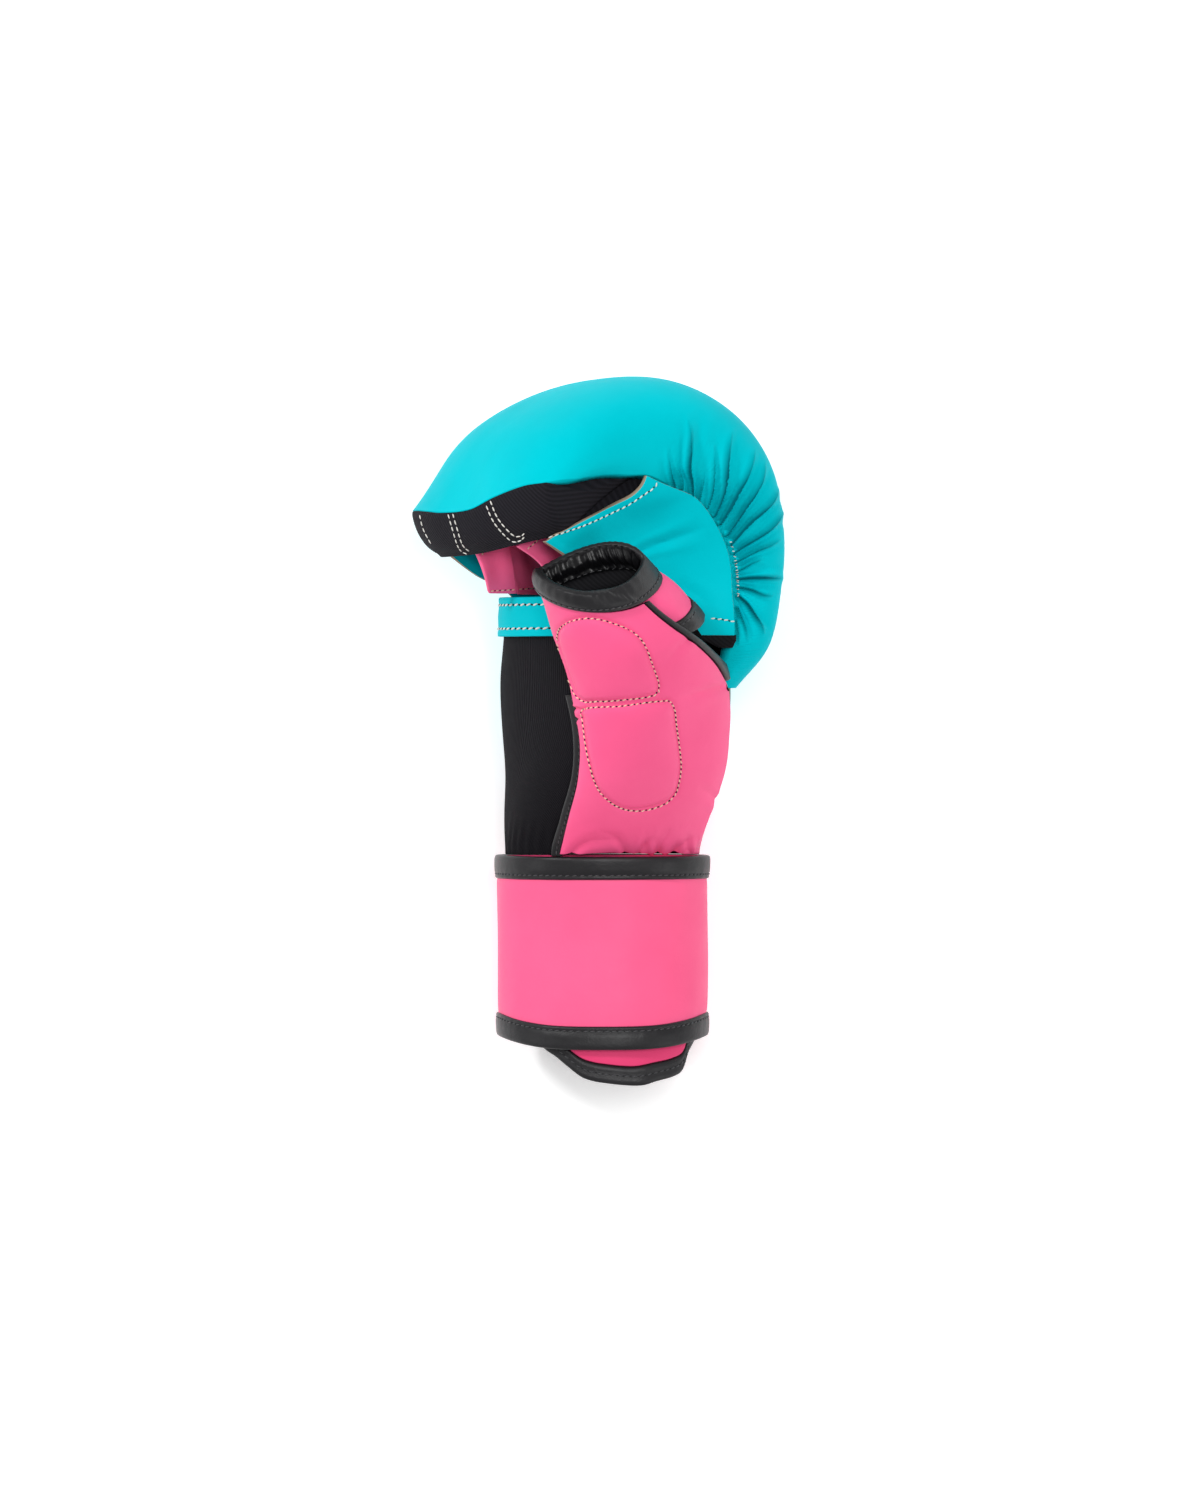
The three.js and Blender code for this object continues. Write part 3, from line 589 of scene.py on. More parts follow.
def lining_outline(c):
    """The wedge's outline at a thumbward distance, as back and along distances, with its lip and start."""
    top = []
    for i in range(7):
        at = mix(0.8, 1, i / 6)
        half, edge = padding_row(at)[6:8]
        point = padding_lining(at, across_at(c, half - edge, math.pi / 2))
        top.append(((point.x - c * math.sin(HAND_TURN)) / math.cos(HAND_TURN), point.y - 0.8))
    fold = (top[6][0] - 3.5, top[6][1])
    lip = (fold[0] + 10.5, fold[1] - 16.5)
    front = []
    for degrees in (0, 25, 50, 72, 90):
        turn = math.radians(degrees)
        front.append((mix(lip[0], fold[0], math.cos(turn)), mix(fold[1], lip[1], math.sin(turn))))
    roof = [roof_point(lip, top[0], share) for share in (0.25, 0.5, 0.75, 1)]
    return top + front + roof, lip, top[0]


# How far each corner of the outline spreads out to the edge of the padding's leather.
LINING_SPREAD = [0, 0, 0, 0, 0, 0.15, 0.7, 1, 0.85, 0.6, 0.35, 0.2, 0.1, 0, 0, 0]


@functools.lru_cache(maxsize=None)
def lining_corners(c):
    outline = lining_outline(c)[0]
    wide = c * 47.5 / LINING_HALF_WIDTH
    edge = padding_face(1, across_at(wide, padding_row(1)[6], PADDING_TUCK))
    edge_b = (edge.x - wide * math.sin(HAND_TURN)) / math.cos(HAND_TURN)
    off_b, off_y = edge_b - outline[7][0], edge.y - 0.4 - outline[7][1]
    return [
        Vector((b + off_b * spread, y + off_y * spread, mix(c, wide, spread)))
        for (b, y), spread in zip(outline, LINING_SPREAD)
    ]


def lining_surface(u, v):
    """Goes round the wedge with v. The first and last rows of u close its two ends."""
    end = max(0, 1 - min(u, 1 - u) / 0.09)
    c = LINING_HALF_WIDTH * math.sin(mix(-math.pi / 2, math.pi / 2, min(1, max(0, (u - 0.09) / 0.82))))
    corners = lining_corners(round(c, 4))
    size = len(corners)
    place = (v % 1) * size if v < NEARLY_ROUND else 0
    point = spline(*(corners[(int(place) + step) % size] for step in (-1, 0, 1, 2)), place % 1)
    middle = sum(corners, Vector((0, 0, 0))) / size
    point = point.lerp(middle, 1 - (1 - end) ** 1.2)
    bulge = 0.9 * math.sqrt(1 - (1 - min(1, end * 4)) ** 2) * (1 if u > 0.5 else -1)
    return fist_point(point.x, point.y, point.z + bulge)


black_twill = woven_black("black_twill", (0.0145, 0.0135, 0.0175), 0.0011)
lining_shape = bmesh.new()
shaped_grid(lining_shape, 110, 96, lining_surface)
bmesh.ops.remove_doubles(lining_shape, verts=lining_shape.verts[:], dist=1e-7)
bmesh.ops.holes_fill(lining_shape, edges=[edge for edge in lining_shape.edges if edge.is_boundary])
bmesh.ops.recalc_face_normals(lining_shape, faces=lining_shape.faces[:])
finger_lining = finished("fingertip_lining", lining_shape, [black_twill], "finger_lining")


def thread_finish(name, colour, roughness=0.55):
    """Waxed sewing thread, with its twist."""
    finish, tree, surface = blank_finish(name)
    place = node_of(tree, "ShaderNodeTexCoord").outputs["Object"]
    twist = node_of(
        tree, "ShaderNodeTexWave", Vector=place, Scale=1200.0, Distortion=1.0, bands_direction="DIAGONAL"
    )
    age = node_of(tree, "ShaderNodeTexNoise", Vector=place, Scale=260.0)
    fill_sockets(
        tree, surface,
        Base_Color=blended(tree, age.outputs["Fac"], [channel * 0.78 for channel in colour], colour),
        Normal=raised(tree, twist.outputs["Fac"], 0.5, 0.0001),
        Roughness=roughness,
    )
    return finish


def surface_tree(piece):
    """A search tree of a finished piece, with its modifiers."""
    bpy.context.view_layer.update()
    return BVHTree.FromObject(piece, bpy.context.evaluated_depsgraph_get())


def seen_line(tree, line):
    """The points of a piece under a line drawn from above, in metres."""
    found = []
    for point in smooth_line(line, 0.3):
        above = Vector(((point[0] - MIDDLE[0]) / 1000, (point[1] - MIDDLE[1]) / 1000, 0.5))
        hit = tree.ray_cast(above, Vector((0, 0, -1)))[0]
        if hit:
            found.append(hit)
    return found


def stitch_spots(tree, points, pitch):
    """Evenly spaced places along a row on a piece, each with the row's direction and the surface normal."""
    spots, walked = [], pitch / 2
    for start, end in zip(points, points[1:]):
        if (end - start).length > pitch * 1.5:
            continue
        walked += (end - start).length
        if walked < pitch:
            continue
        walked = 0
        place, normal = tree.find_nearest(end)[:2]
        if normal.dot(Vector((0, 0, 1))) < -0.9999:
            continue
        spots.append((place, (end - start).normalized(), normal))
    return spots


def add_stitches(shape, spots, length, thick, lean=0.0, sunk=0.0):
    """Adds a short rounded stitch at every spot, leaning a little across the row."""
    for place, along, normal in spots:
        aside = normal.cross(along).normalized()
        along = (along * math.cos(lean) + aside * math.sin(lean)).normalized()
        aside = normal.cross(along)
        middle = place + normal * (thick * 0.18 - sunk)
        for vert in bmesh.ops.create_uvsphere(shape, u_segments=6, v_segments=5, radius=0.5)["verts"]:
            x, y, z = vert.co
            vert.co = middle + along * z * length + aside * x * thick + normal * y * thick * 0.8


white_thread = thread_finish("white_thread", (0.86, 0.84, 0.78))
# Near-black finish for the marks between stitches: painted shade in the needle holes.
painted_hole_shade = thread_finish("painted_hole_shade", (0.012, 0.012, 0.014), 0.9)


def stitched(name, tree, rows, pitch, length, thick, thread, lean=0.25, holes=True):
    """One piece for the stitches of some rows, with near-black marks between them as painted shade in the
    needle holes.
    """
    pitch, length, thick = pitch / 1000, length / 1000, thick / 1000
    shape = bmesh.new()
    hole_shape = bmesh.new()
    for row in rows:
        spots = stitch_spots(tree, row, pitch)
        add_stitches(shape, spots, length, thick, lean)
        if holes and spots:
            between = [
                (tree.find_nearest((spot[0] + following[0]) / 2)[0], spot[1], spot[2])
                for spot, following in zip(spots, spots[1:])
                if (spot[0] - following[0]).length < pitch * 2
            ]
            add_stitches(hole_shape, between, max(thick, pitch - length) * 1.25, thick * 1.15, 0, thick * 0.2)
    finished(name, shape, [thread])
    if holes:
        finished(name + "_holes", hole_shape, [painted_hole_shade])
    else:
        hole_shape.free()


# Rows as seen from above. The two threads of a double row lie 1.7 mm apart.
LINING_ROWS = [
    [(-45.6, 222.3), (-41.8, 213.6), (-36.1, 207.1), (-32.5, 206.4), (-29.6, 208.6)],
    [(-43.6, 222.9), (-40.2, 214.9), (-34.9, 208.9), (-31.8, 208.3), (-30.0, 209.6)],
    [(-59.3, 217.4), (-57.4, 210.9), (-55.1, 204.1), (-51.7, 201.6)],
    [(-57.5, 217.6), (-55.7, 211.4), (-53.6, 205.2), (-50.3, 202.3)],
    [(-70.2, 217.2), (-68.7, 211.5), (-65.6, 205.6)],
]
lining_tree = surface_tree(finger_lining)
lining_rows = [seen_line(lining_tree, row) for row in LINING_ROWS]
stitched("lining_stitches", lining_tree, lining_rows, 2.3, 1.95, 0.62, white_thread, 0.06, False)


# The two side panels close the fist between the padding and the bent fingers. Each is one layer of
# turquoise leather with a cut edge left raw and a row of white thread beside it; the index panel has a black
# lining.
INDEX_PANEL = [
    # at, b, y, c, seam_at
    (0, -14, 171.5, 39, 0.2),
    (0.3, -15, 187, 39, 0.37),
    (0.62, -37, 197, 40, 0.56),
    (1, -56, 206, 42, 0.77),
]
LITTLE_PANEL = [
    (0, -5, 151.2, 45, 0.02),
    (0.28, -8, 176, 42, 0.22),
    (0.45, -18, 188, 40, 0.36),
    (0.7, -32, 194.5, 40, 0.56),
    (1, -46, 204, 42, 0.77),
]
# Soft creases of the index panel, as the padding's folds are given: line, depth, near and far width.
PANEL_CREASES = [
    ([(10.0, 201.0), (16.5, 204.6), (24.0, 207.0), (38.5, 212.0)], 1.5, 1.6, 3.0),
    ([(29.3, 189.6), (36.1, 185.1), (42.2, 178.2)], 0.5, 2.4, 3.0),
]
panel_creases = [(smooth_line(line, 0.8), *widths) for line, *widths in PANEL_CREASES]
# The place inside the fist, back and along, towards which the panels are tucked.
PANEL_HEART = (-14, 185)


def side_panel(rows, hand, u, v):
    """A panel's outer face. u runs towards the padding's seam, v towards the fingertips."""
    at_b, at_y, at_c, seam_at = read_table(rows, v)
    _, _, _, _, seam_b, seam_y, half, _ = padding_row(seam_at)
    away = math.hypot(PANEL_HEART[0] - seam_b, PANEL_HEART[1] - seam_y)
    tuck = (0.8 - 3.2 * ease(0.25, 0.55, v) * (1 - ease(0.8, 0.97, v)) * (1 if hand > 0 else 0)) / away
    seam = (mix(seam_b, PANEL_HEART[0], tuck), mix(seam_y, PANEL_HEART[1], tuck) - 0.6 * v)
    dip = 3 * math.sin(math.pi * u) * ease(0, 0.3, v) * (1 - ease(0.75, 1, v))
    curl = 1.1 * (1 - ease(0, 0.09, u)) * ease(0.3, 0.8, v)
    rise = 3.9 * ease(0.55, 1, u)
    c = mix(at_c, half - 5.5, u) - dip + rise + curl
    corner = max(0, (u - 0.72) / 0.28) ** 2 * ease(0.84, 1, v)
    point = fist_point(mix(at_b, seam[0], u) - 5.2 * corner, mix(at_y, seam[1], u) + 3.4 * corner, hand * c)
    if hand < 0:
        return point
    depth = 0
    for line, deepest, near, far in panel_creases:
        gaps = [(p.x - point.x) ** 2 + (p.y - point.y) ** 2 for p in line]
        nearest = min(gaps)
        along = gaps.index(nearest) / (len(line) - 1)
        away = math.sqrt(nearest) / mix(near, far, along)
        section = math.exp(-1.8 * away**1.3) - 0.3 * math.exp(-((away - 1.6) ** 2) * 2)
        depth += deepest * math.sin(math.pi * mix(0.25, 1, along)) * section
    point.z -= depth
    return point


def lining_gusset(u, v):
    """The twill goes on from the wedge to under the index panel's free edge."""
    _, lip, start = lining_outline(36)
    roof_b, roof_y = roof_point(lip, start, mix(0.1, 1, u))
    under = side_panel(INDEX_PANEL, 1, mix(0.15, 0.96, u), 0.97) - Vector((0, 0, 3.2))
    return fist_point(roof_b, roof_y, 36).lerp(under, v)


gusset_shape = bmesh.new()
gusset_faces = shaped_grid(gusset_shape, 40, 16, lining_gusset)
face_away(gusset_shape, gusset_faces, (0, 190, 40))
finished("lining_gusset", gusset_shape, [black_twill])
raw_edge = leather_finish("raw_leather_edge", (0.42, 0.31, 0.22), (0.26, 0.19, 0.14), 0.85, 0.5, 0.5)


def walled(piece, thickness, edge_bevel=0.0005):
    """Gives a leather sheet its wall: lining on the inner side, and a cut edge all round."""
    wall = piece.modifiers.new("wall", "SOLIDIFY")
    wall.thickness = thickness / 1000
    wall.offset = -1
    wall.material_offset = 1
    wall.material_offset_rim = 2
    soften = piece.modifiers.new("soft_edges", "BEVEL")
    soften.width = edge_bevel
    soften.segments = 2
    soften.limit_method = "ANGLE"
    soften.angle_limit = math.radians(50)
    soften.material = -1
    return piece


side_panels = {}
for panel_name, node, hand, rows in (
    ("index_side_panel", "side_panel_index", 1, INDEX_PANEL),
    ("little_side_panel", "side_panel_little", -1, LITTLE_PANEL),
):
    panel_shape = bmesh.new()
    panel_faces = shaped_grid(panel_shape, 70, 80, functools.partial(side_panel, rows, hand))
    face_away(panel_shape, panel_faces, FIST_HEART)
    panel_layers = [turquoise_leather, lining_cloth if hand > 0 else turquoise_leather, raw_edge]
    panel = finished(panel_name, panel_shape, panel_layers, node)
    side_panels[panel_name] = walled(panel, LEATHER, 0.0004)


def rolled(shape, u_steps, v_steps, place, low, high, squareness=5, ring=False):
    """Adds a flat strip with rounded edges. place gives the point for u, a share across and a height."""

    def surface(u, v):
        angle = 2 * math.pi * (v if v < NEARLY_ROUND else 0)
        share = 0.5 - 0.5 * power(math.cos(angle), 2 / squareness)
        height = mix(low, high, 0.5 + 0.5 * power(math.sin(angle), 2 / squareness))
        return place(u, share, height)

    shaped_grid(shape, u_steps, v_steps, surface, ring)
    bmesh.ops.remove_doubles(shape, verts=shape.verts[:], dist=1e-6)
    bmesh.ops.holes_fill(shape, edges=[edge for edge in shape.edges if edge.is_boundary])
    bmesh.ops.recalc_face_normals(shape, faces=shape.faces[:])


INDEX_PANEL_ROWS = [
    [(19.8, 229.5), (18.6, 226.9), (14.8, 224.2), (9.5, 220.6), (3.8, 217.7), (-7.6, 212.4), (-22.8, 207.0)],
    [(39.5, 177.8), (45.0, 177.2), (50.2, 176.2)],
]
index_tree = surface_tree(side_panels["index_side_panel"])
index_rows = [seen_line(index_tree, row) for row in INDEX_PANEL_ROWS]
stitched("index_panel_stitches", index_tree, index_rows, 2.4, 1.75, 0.62, white_thread)

# The loosely gathered stretch of the seam, where the thread shows between the folds.
SEAM_ROW = [(47.3, 207.2), (48.8, 202.0), (49.8, 196.0), (50.2, 190.5), (50.4, 185.5)]
padding_tree = surface_tree(knuckle_padding)
seam_rows = [seen_line(padding_tree, SEAM_ROW)]
stitched("gathered_seam_stitches", padding_tree, seam_rows, 1.9, 1.2, 0.5, white_thread, 1.1)


def lining_roll(u, share, height):
    """The panel's black lining, rolled out under its lower edge."""
    edge = side_panel(INDEX_PANEL, 1, mix(0.45, 0.985, u), 0)
    full = ease(0.45, 0.8, u) * ease(1, 0.93, u)
    forward = (share - 0.9) * mix(2.2, 5.2, full)
    return edge + Vector((1.2 * ease(0.7, 1, u), forward, -1.2 + height * mix(0.5, 1, full)))


roll_shape = bmesh.new()
rolled(roll_shape, 50, 20, lining_roll, -1.6, 1.3, 2.4)
finished("side_panel_lining_roll", roll_shape, [lining_cloth])


def row_of(place, count):
    """A row of points in the scene from a formula, by the share along the row, in millimetres."""
    return [to_scene(place(i / count)) for i in range(count + 1)]


little_tree = surface_tree(side_panels["little_side_panel"])
little_row = row_of(lambda along: side_panel(LITTLE_PANEL, -1, 0.05, mix(0.1, 0.98, along)), 60)
stitched("little_panel_stitches", little_tree, [little_row], 2.4, 1.75, 0.62, white_thread)


# Three short pink leather straps between the fingers tie the lip of the lining to the palm band.
# The cream thread that sews each head down shows just under the lip.
FINGER_STRAPS = [
    # c, head, foot, lean, bow
    (24, 0.02, -42, -7, 6),
    (1, 0.02, -49, -7, -1),
    (-21, 0.42, -25, -1, -1),
]
pink_leather = leather_finish("pink_leather", (0.98, 0.122, 0.3), (0.93, 0.105, 0.27), 0.48)
# A lighter copy of pink_leather for the finger straps: painted light that makes up for the shade the padding
# casts on them.
strap_pink_painted_light = leather_finish("strap_pink_painted_light", (1.0, 0.15, 0.34), (0.97, 0.13, 0.3), 0.48)
cream_thread = thread_finish("cream_thread", (0.9, 0.68, 0.5))


def finger_strap(strap, u, v, height=0.0):
    c, head, foot, lean, bow = strap
    _, lip, start = lining_outline(c)
    top_b, top_y = roof_point(lip, start, head + 0.25 * u)
    bulge = 2.5 * math.sin(math.pi * v)
    ripple = 0.35 * math.sin(math.pi * v) * math.sin(9 * u + c)
    return fist_point(
        mix(top_b, foot + 13 * u, v) + bow * math.sin(math.pi * v),
        mix(top_y - 1.2, 187, v),
        c + lean * v + bulge + ripple - 2 * height,
    )


for number, strap in enumerate(FINGER_STRAPS, 1):
    strap_shape = bmesh.new()
    strap_faces = shaped_grid(strap_shape, 16, 26, functools.partial(finger_strap, strap))
    below = finger_strap(strap, 0.5, 0.5, 6)
    face_away(strap_shape, strap_faces, below)
    strap_name, node = f"finger_strap_leather_{number}", f"finger_strap_{number}"
    piece = finished(strap_name, strap_shape, [strap_pink_painted_light] * 3, node)
    walled(piece, 2.0, 0.0005)
    strap_tree = surface_tree(piece)
    rows = [
        row_of(lambda across: finger_strap(strap, mix(0.04, 0.96, across), share), 30)
        for share in (0.1, 0.93)
    ]
    stitched(f"finger_strap_stitches_{number}", strap_tree, rows, 2.0, 1.3, 0.5, cream_thread)


# The sleeve that goes round the hand, from the cuff to the finger roots. Its palm is ribbed black
# elastic, its back is leather that fades from turquoise to pink in small dots.
SLEEVE = [
    # y, cx, cz, half_b, half_c, turn
    (-2, -0.8, 32.7, 35.5, 28.5, 0),
    (30, -1, 32.7, 36.6, 29.6, 0),
    (88, -1, 34, 37, 31, 4),
    (104, 0.8, 41, 38.8, 37, 15),
    (120, 3, 50, 39, 43, 25),
    (136, 3.8, 57, 39, 47, 31),
    (154, 3.8, 62, 39, 47.5, 34),
    (172, 3.2, 64, 38, 44, 34),
    (190, 3, 64.5, 38, 42, 34),
]
PALM_EDGE = [(88, 110), (96, 116), (106, 123), (118, 127), (186, 130)]
SEAM_GAP = 0.35
CUFF_TOP = 87.8
SLEEVE_START = CUFF_TOP + SEAM_GAP
PALM_END = 175
PALM_FAR_EDGE = 254
BACK_END = 152.8
ELASTIC = 1.8


@functools.lru_cache(maxsize=None)
def sleeve_row(y):
    return read_table(SLEEVE, y)


def sleeve(angle, y):
    cx, cz, half_b, half_c, turn = sleeve_row(y)
    b = half_b * power(math.cos(math.radians(angle)), 2 / 2.3)
    c = half_c * power(math.sin(math.radians(angle)), 2 / 2.3)
    cosine, sine = math.cos(math.radians(turn)), math.sin(math.radians(turn))
    return Vector((cx + b * cosine + c * sine, y, cz - b * sine + c * cosine))


def lifted(surface, first, second, height, outward):
    """The point that lies a given height outside a surface, and never below the table."""
    along_first = surface(first + 0.02, second) - surface(first - 0.02, second)
    along_second = surface(first, second + 0.02) - surface(first, second - 0.02)
    point = surface(first, second) + along_first.cross(along_second).normalized() * outward * height
    point.z = max(0, point.z)
    return point


def on_sleeve(angle, y, height):
    return lifted(sleeve, angle, y, height, -1)


def palm_panel(u, v):
    y = mix(SLEEVE_START, PALM_END, v)
    gather = 0.25 * math.sin(u * 95) * (1 - ease(0.05, 0.2, v))
    return on_sleeve(mix(read_table(PALM_EDGE, y)[0], PALM_FAR_EDGE, u), y, gather)


ribbed_elastic = woven_black("ribbed_elastic", (0.0098, 0.009, 0.0115), 0.0095, across=True, strength=0.7)
palm_shape = bmesh.new()
palm_faces = shaped_grid(palm_shape, 90, 40, palm_panel)
palm_map = palm_shape.loops.layers.uv.verify()
# The ribs run along the hand: the map's first number grows by 1 for 139 degrees round the sleeve.
for face in palm_faces:
    for loop in face.loops:
        u, v = loop[palm_map].uv
        first = read_table(PALM_EDGE, mix(SLEEVE_START, PALM_END, v))[0]
        loop[palm_map].uv = (mix(first, PALM_FAR_EDGE, u) / 139, v)
face_away(palm_shape, palm_faces, (3, 130, 55))
palm_layers = [ribbed_elastic, lining_cloth, lining_cloth]
palm_elastic = finished("palm_elastic", palm_shape, palm_layers, "palm_panel")
# The cut is 87 mm long and 106 mm wide at its widest, measured from the piece itself.
walled(palm_elastic, ELASTIC, 0.0003)

back_shape = bmesh.new()
back_faces = shaped_grid(
    back_shape, 90, 60, lambda u, v: on_sleeve(mix(-105, 40, u), mix(SLEEVE_START, BACK_END, v), 0)
)
face_away(back_shape, back_faces, (3, 120, 50))
faded_leather = leather_finish("faded_dot_leather", (0.0, 0.52, 0.6), (0.0, 0.49, 0.56), 0.45)
back_layers = [faded_leather, lining_cloth, raw_edge]
back_leather = finished("back_of_hand", back_shape, back_layers, "back_panel")
walled(back_leather, LEATHER, 0.0003)

# The fade: turquoise dots on a slanting grid, which grow along the hand until they close up.
fade_tree = faded_leather.node_tree
fade_surface = fade_tree.nodes["Principled BSDF"]
fade_place = node_of(fade_tree, "ShaderNodeTexCoord").outputs["UV"]
fade_split = node_of(fade_tree, "ShaderNodeSeparateXYZ", Vector=fade_place)
fade_map = node_of(
    fade_tree, "ShaderNodeMapping", Vector=fade_place, Scale=(74, 36, 1), Rotation=(0, 0, math.radians(45))
)
fade_dots = node_of(
    fade_tree, "ShaderNodeTexVoronoi", Vector=fade_map.outputs["Vector"], voronoi_dimensions="2D",
    Scale=1.0, Randomness=0.0,
)
fade_size = ranged(fade_tree, fade_split.outputs["Y"], 0.12, 0.95, 0.05, 0.8)
fade_edge = reckoned(fade_tree, "SUBTRACT", fade_size, fade_dots.outputs["Distance"])
fade_share = ranged(fade_tree, fade_edge, -0.03, 0.03)
fade_dye = fade_surface.inputs["Base Color"].links[0].from_socket
fill_sockets(
    fade_tree, fade_surface, Base_Color=blended(fade_tree, fade_share, (0.93, 0.12, 0.29), fade_dye)
)


# The palm band holds the feet of the finger straps at the roots of the fingers. It is turquoise
# leather folded at both edges, with a row of white thread along each.
def trough(share, at, depth, width=0.09):
    """How far a row of thread pulls a strip in at a share across it."""
    return depth * math.exp(-(((share - at) / width) ** 2))


def palm_band(u, share, height):
    y = mix(171, 186, share)
    pulled = (trough(share, 0.2, 0.35) + trough(share, 0.8, 0.35)) * (1 if height > 1.2 else 0)
    return on_sleeve(mix(121, 242, u), y, height - pulled)


band_shape = bmesh.new()
rolled(band_shape, 120, 40, palm_band, SEAM_GAP, SEAM_GAP + LEATHER, 6)
band_leather = finished(
    "palm_band_leather", band_shape, [turquoise_leather], "palm_band"
)
band_rows = [
    row_of(lambda along: palm_band(mix(0.02, 0.98, along), share, 2.5), 200) for share in (0.2, 0.8)
]
stitched("palm_band_stitches", surface_tree(band_leather), band_rows, 4.0, 2.9, 0.8, white_thread)


# The thumb panel is one piece of pink leather that wraps the base of the thumb up to its tip.
# Two foam pads are sewn in under it, each inside a closed row of cream thread.
THUMB = [
    # y, left_x, left_z, right_x, right_z, crown, rear, lean
    (88, -18, 66.8, 34.6, 47.0, 7, 0, 0),
    (103, -15, 79.8, 41.0, 55.0, 15, 0, 0),
    (118, -11.4, 92.8, 46.4, 62.5, 21, 0, 0),
    (132, -10.6, 100.8, 48.0, 68, 26, 0, 0),
    (148, -14.4, 105, 48.2, 76, 33, 0, 2),
    (164, -21, 118, 39.5, 103, 28, 2, 8.6),
    (182, -26, 130, 18.8, 124, 22, 5, 9.8),
    (188, -24.6, 134, 13.4, 130, 20.5, 5, 9.8),
]
THUMB_RIGHT = [
    (88, 0.995), (142, 0.985), (150, 0.984), (154, 0.964), (157, 0.941), (160, 0.916), (163, 0.894),
    (167, 0.869), (171, 0.849), (175, 0.838), (180, 0.838),
]
THUMB_TOP = 178.9
THUMB_THICK = 2.6
UPPER_PAD = [
    (-18.2, 169.5), (-16.6, 173.8), (-12.0, 176.3), (-5.3, 177.1), (1.9, 175.6), (9.5, 172.5), (14.4, 168.0),
    (18.0, 159.2), (20.3, 151.6), (18.0, 148.4), (8.0, 146.9), (-3.0, 146.2), (-10.2, 147.2), (-15.2, 158.1),
]
LOWER_PAD = [
    (-8.0, 143.3), (5.7, 144.4), (18.0, 146.0), (25.1, 145.6), (27.0, 136.0), (28.5, 125.0), (28.5, 118.9),
    (26.2, 110.6), (20.1, 106.4), (11.8, 104.9), (4.2, 106.8), (-2.7, 113.2), (-6.5, 125.0), (-8.4, 137.9),
]


@functools.lru_cache(maxsize=None)
def thumb_row(y):
    return read_table(THUMB, y)


def thumb(around, y):
    left_x, left_z, right_x, right_z, crown, rear, lean = thumb_row(y)
    turn = around % 2
    share = turn if turn <= 1 else 2 - turn
    bow = (4 * share * (1 - share)) ** 0.6
    side_lean = lean * (1 + 0.35 * share)
    if turn <= 1:
        rise, ahead = crown * bow, side_lean * (1 - bow)
    else:
        skewed = share**1.6
        rise, ahead = -rear * bow, side_lean + 0.8 * lean * (4 * skewed * (1 - skewed)) ** 0.6
    return Vector((mix(left_x, right_x, share), y + ahead, mix(left_z, right_z, share) + rise))


def on_thumb(around, y, height):
    return lifted(thumb, around, y, height, 1)


def closed_line(points, step):
    """A smooth closed line through points, a step apart."""
    doubled = smooth_line([*points[-2:], *points, *points[:3]], step)
    gaps = [(point - Vector(points[0])).length for point in doubled]
    half = len(gaps) // 2
    return doubled[gaps.index(min(gaps[:half])):half + gaps[half:].index(min(gaps[half:]))]


pad_rows = [closed_line(UPPER_PAD, 1.2), closed_line(LOWER_PAD, 1.2)]
# Creases under the wrist strap and where the thumb bends, given as the gathers are.
THUMB_CREASES = fold_lines([
    ([(-12.6, 88.2), (-9.0, 91.0), (-3.6, 92.8), (4.9, 92.6), (10.0, 91.0)], 0.7, 3.0, 3.6, 0.4),
    ([(8.0, 87.0), (6.6, 90.5), (3.0, 94.5), (-3.6, 97.2)], 0.6, 2.4, 3.8, -0.3),
    ([(12.5, 87.0), (15.0, 91.0), (19.0, 95.0)], 0.8, 2.0, 3.4, 0.2),
    ([(25.7, 86.6), (28.0, 89.6), (31.5, 92.6), (35.5, 94.5)], 0.8, 2.2, 3.2, 0.3),
    ([(20.0, 86.6), (22.0, 92.0), (25.5, 98.0)], 0.8, 2.2, 3.6, 0.2),
    ([(44.0, 107.8), (41.0, 110.4), (35.0, 114.5)], 0.5, 3.0, 4.4, 0.3),
    ([(44.5, 151.6), (40.0, 150.8), (33.0, 148.8), (27.0, 148.0)], 0.7, 3.0, 3.8, 0.3),
    ([(-13.0, 143.6), (-9.5, 142.9), (-6.6, 142.2)], 1.0, 1.2, 1.5, 0.0),
    ([(-12.6, 139.2), (-9.6, 139.8), (-7.4, 140.6)], 0.8, 1.2, 1.5, 0.0),
    ([(34.0, 171.0), (28.0, 166.0), (22.5, 158.5)], 0.5, 2.6, 3.6, 0.0),
])


def inside_row(x, y, row):
    inside = False
    for start, end in zip(row, row[1:] + row[:1]):
        if (start.y > y) != (end.y > y) and x < mix(start.x, end.x, (y - start.y) / (end.y - start.y)):
            inside = not inside
    return inside


def thumb_swell(x, y):
    """How far the sewn-in pads lift the leather, and their thread pulls it in."""
    swell = 0
    for row in pad_rows:
        nearest = math.sqrt(min((p.x - x) ** 2 + (p.y - y) ** 2 for p in row))
        if inside_row(x, y, row):
            swell += 1.7 * (1 - math.exp(-nearest / 3.0))
        swell -= 0.85 * math.exp(-((nearest / 1.1) ** 2))
    return swell


def thumb_panel(u, v):
    y = mix(88.35, THUMB_TOP, v)
    around = mix(0.012, read_table(THUMB_RIGHT, y)[0], 0.5 - 0.5 * math.cos(math.pi * u))
    flat = thumb(around, y)
    drawn = math.sin(flat.x * 1.15 + 1.2 * math.sin(flat.x * 0.37))
    pucker = 0.35 * ease(97, 90, y) * drawn * ease(2, 14, flat.x)
    wave = 0.35 * math.sin(flat.x * 0.21 + 1.0) * math.sin(flat.y * 0.13)
    crease = gather_depth(flat.x, flat.y, THUMB_CREASES)
    return on_thumb(around, y, thumb_swell(flat.x, flat.y) + pucker + wave - crease - 0.5)


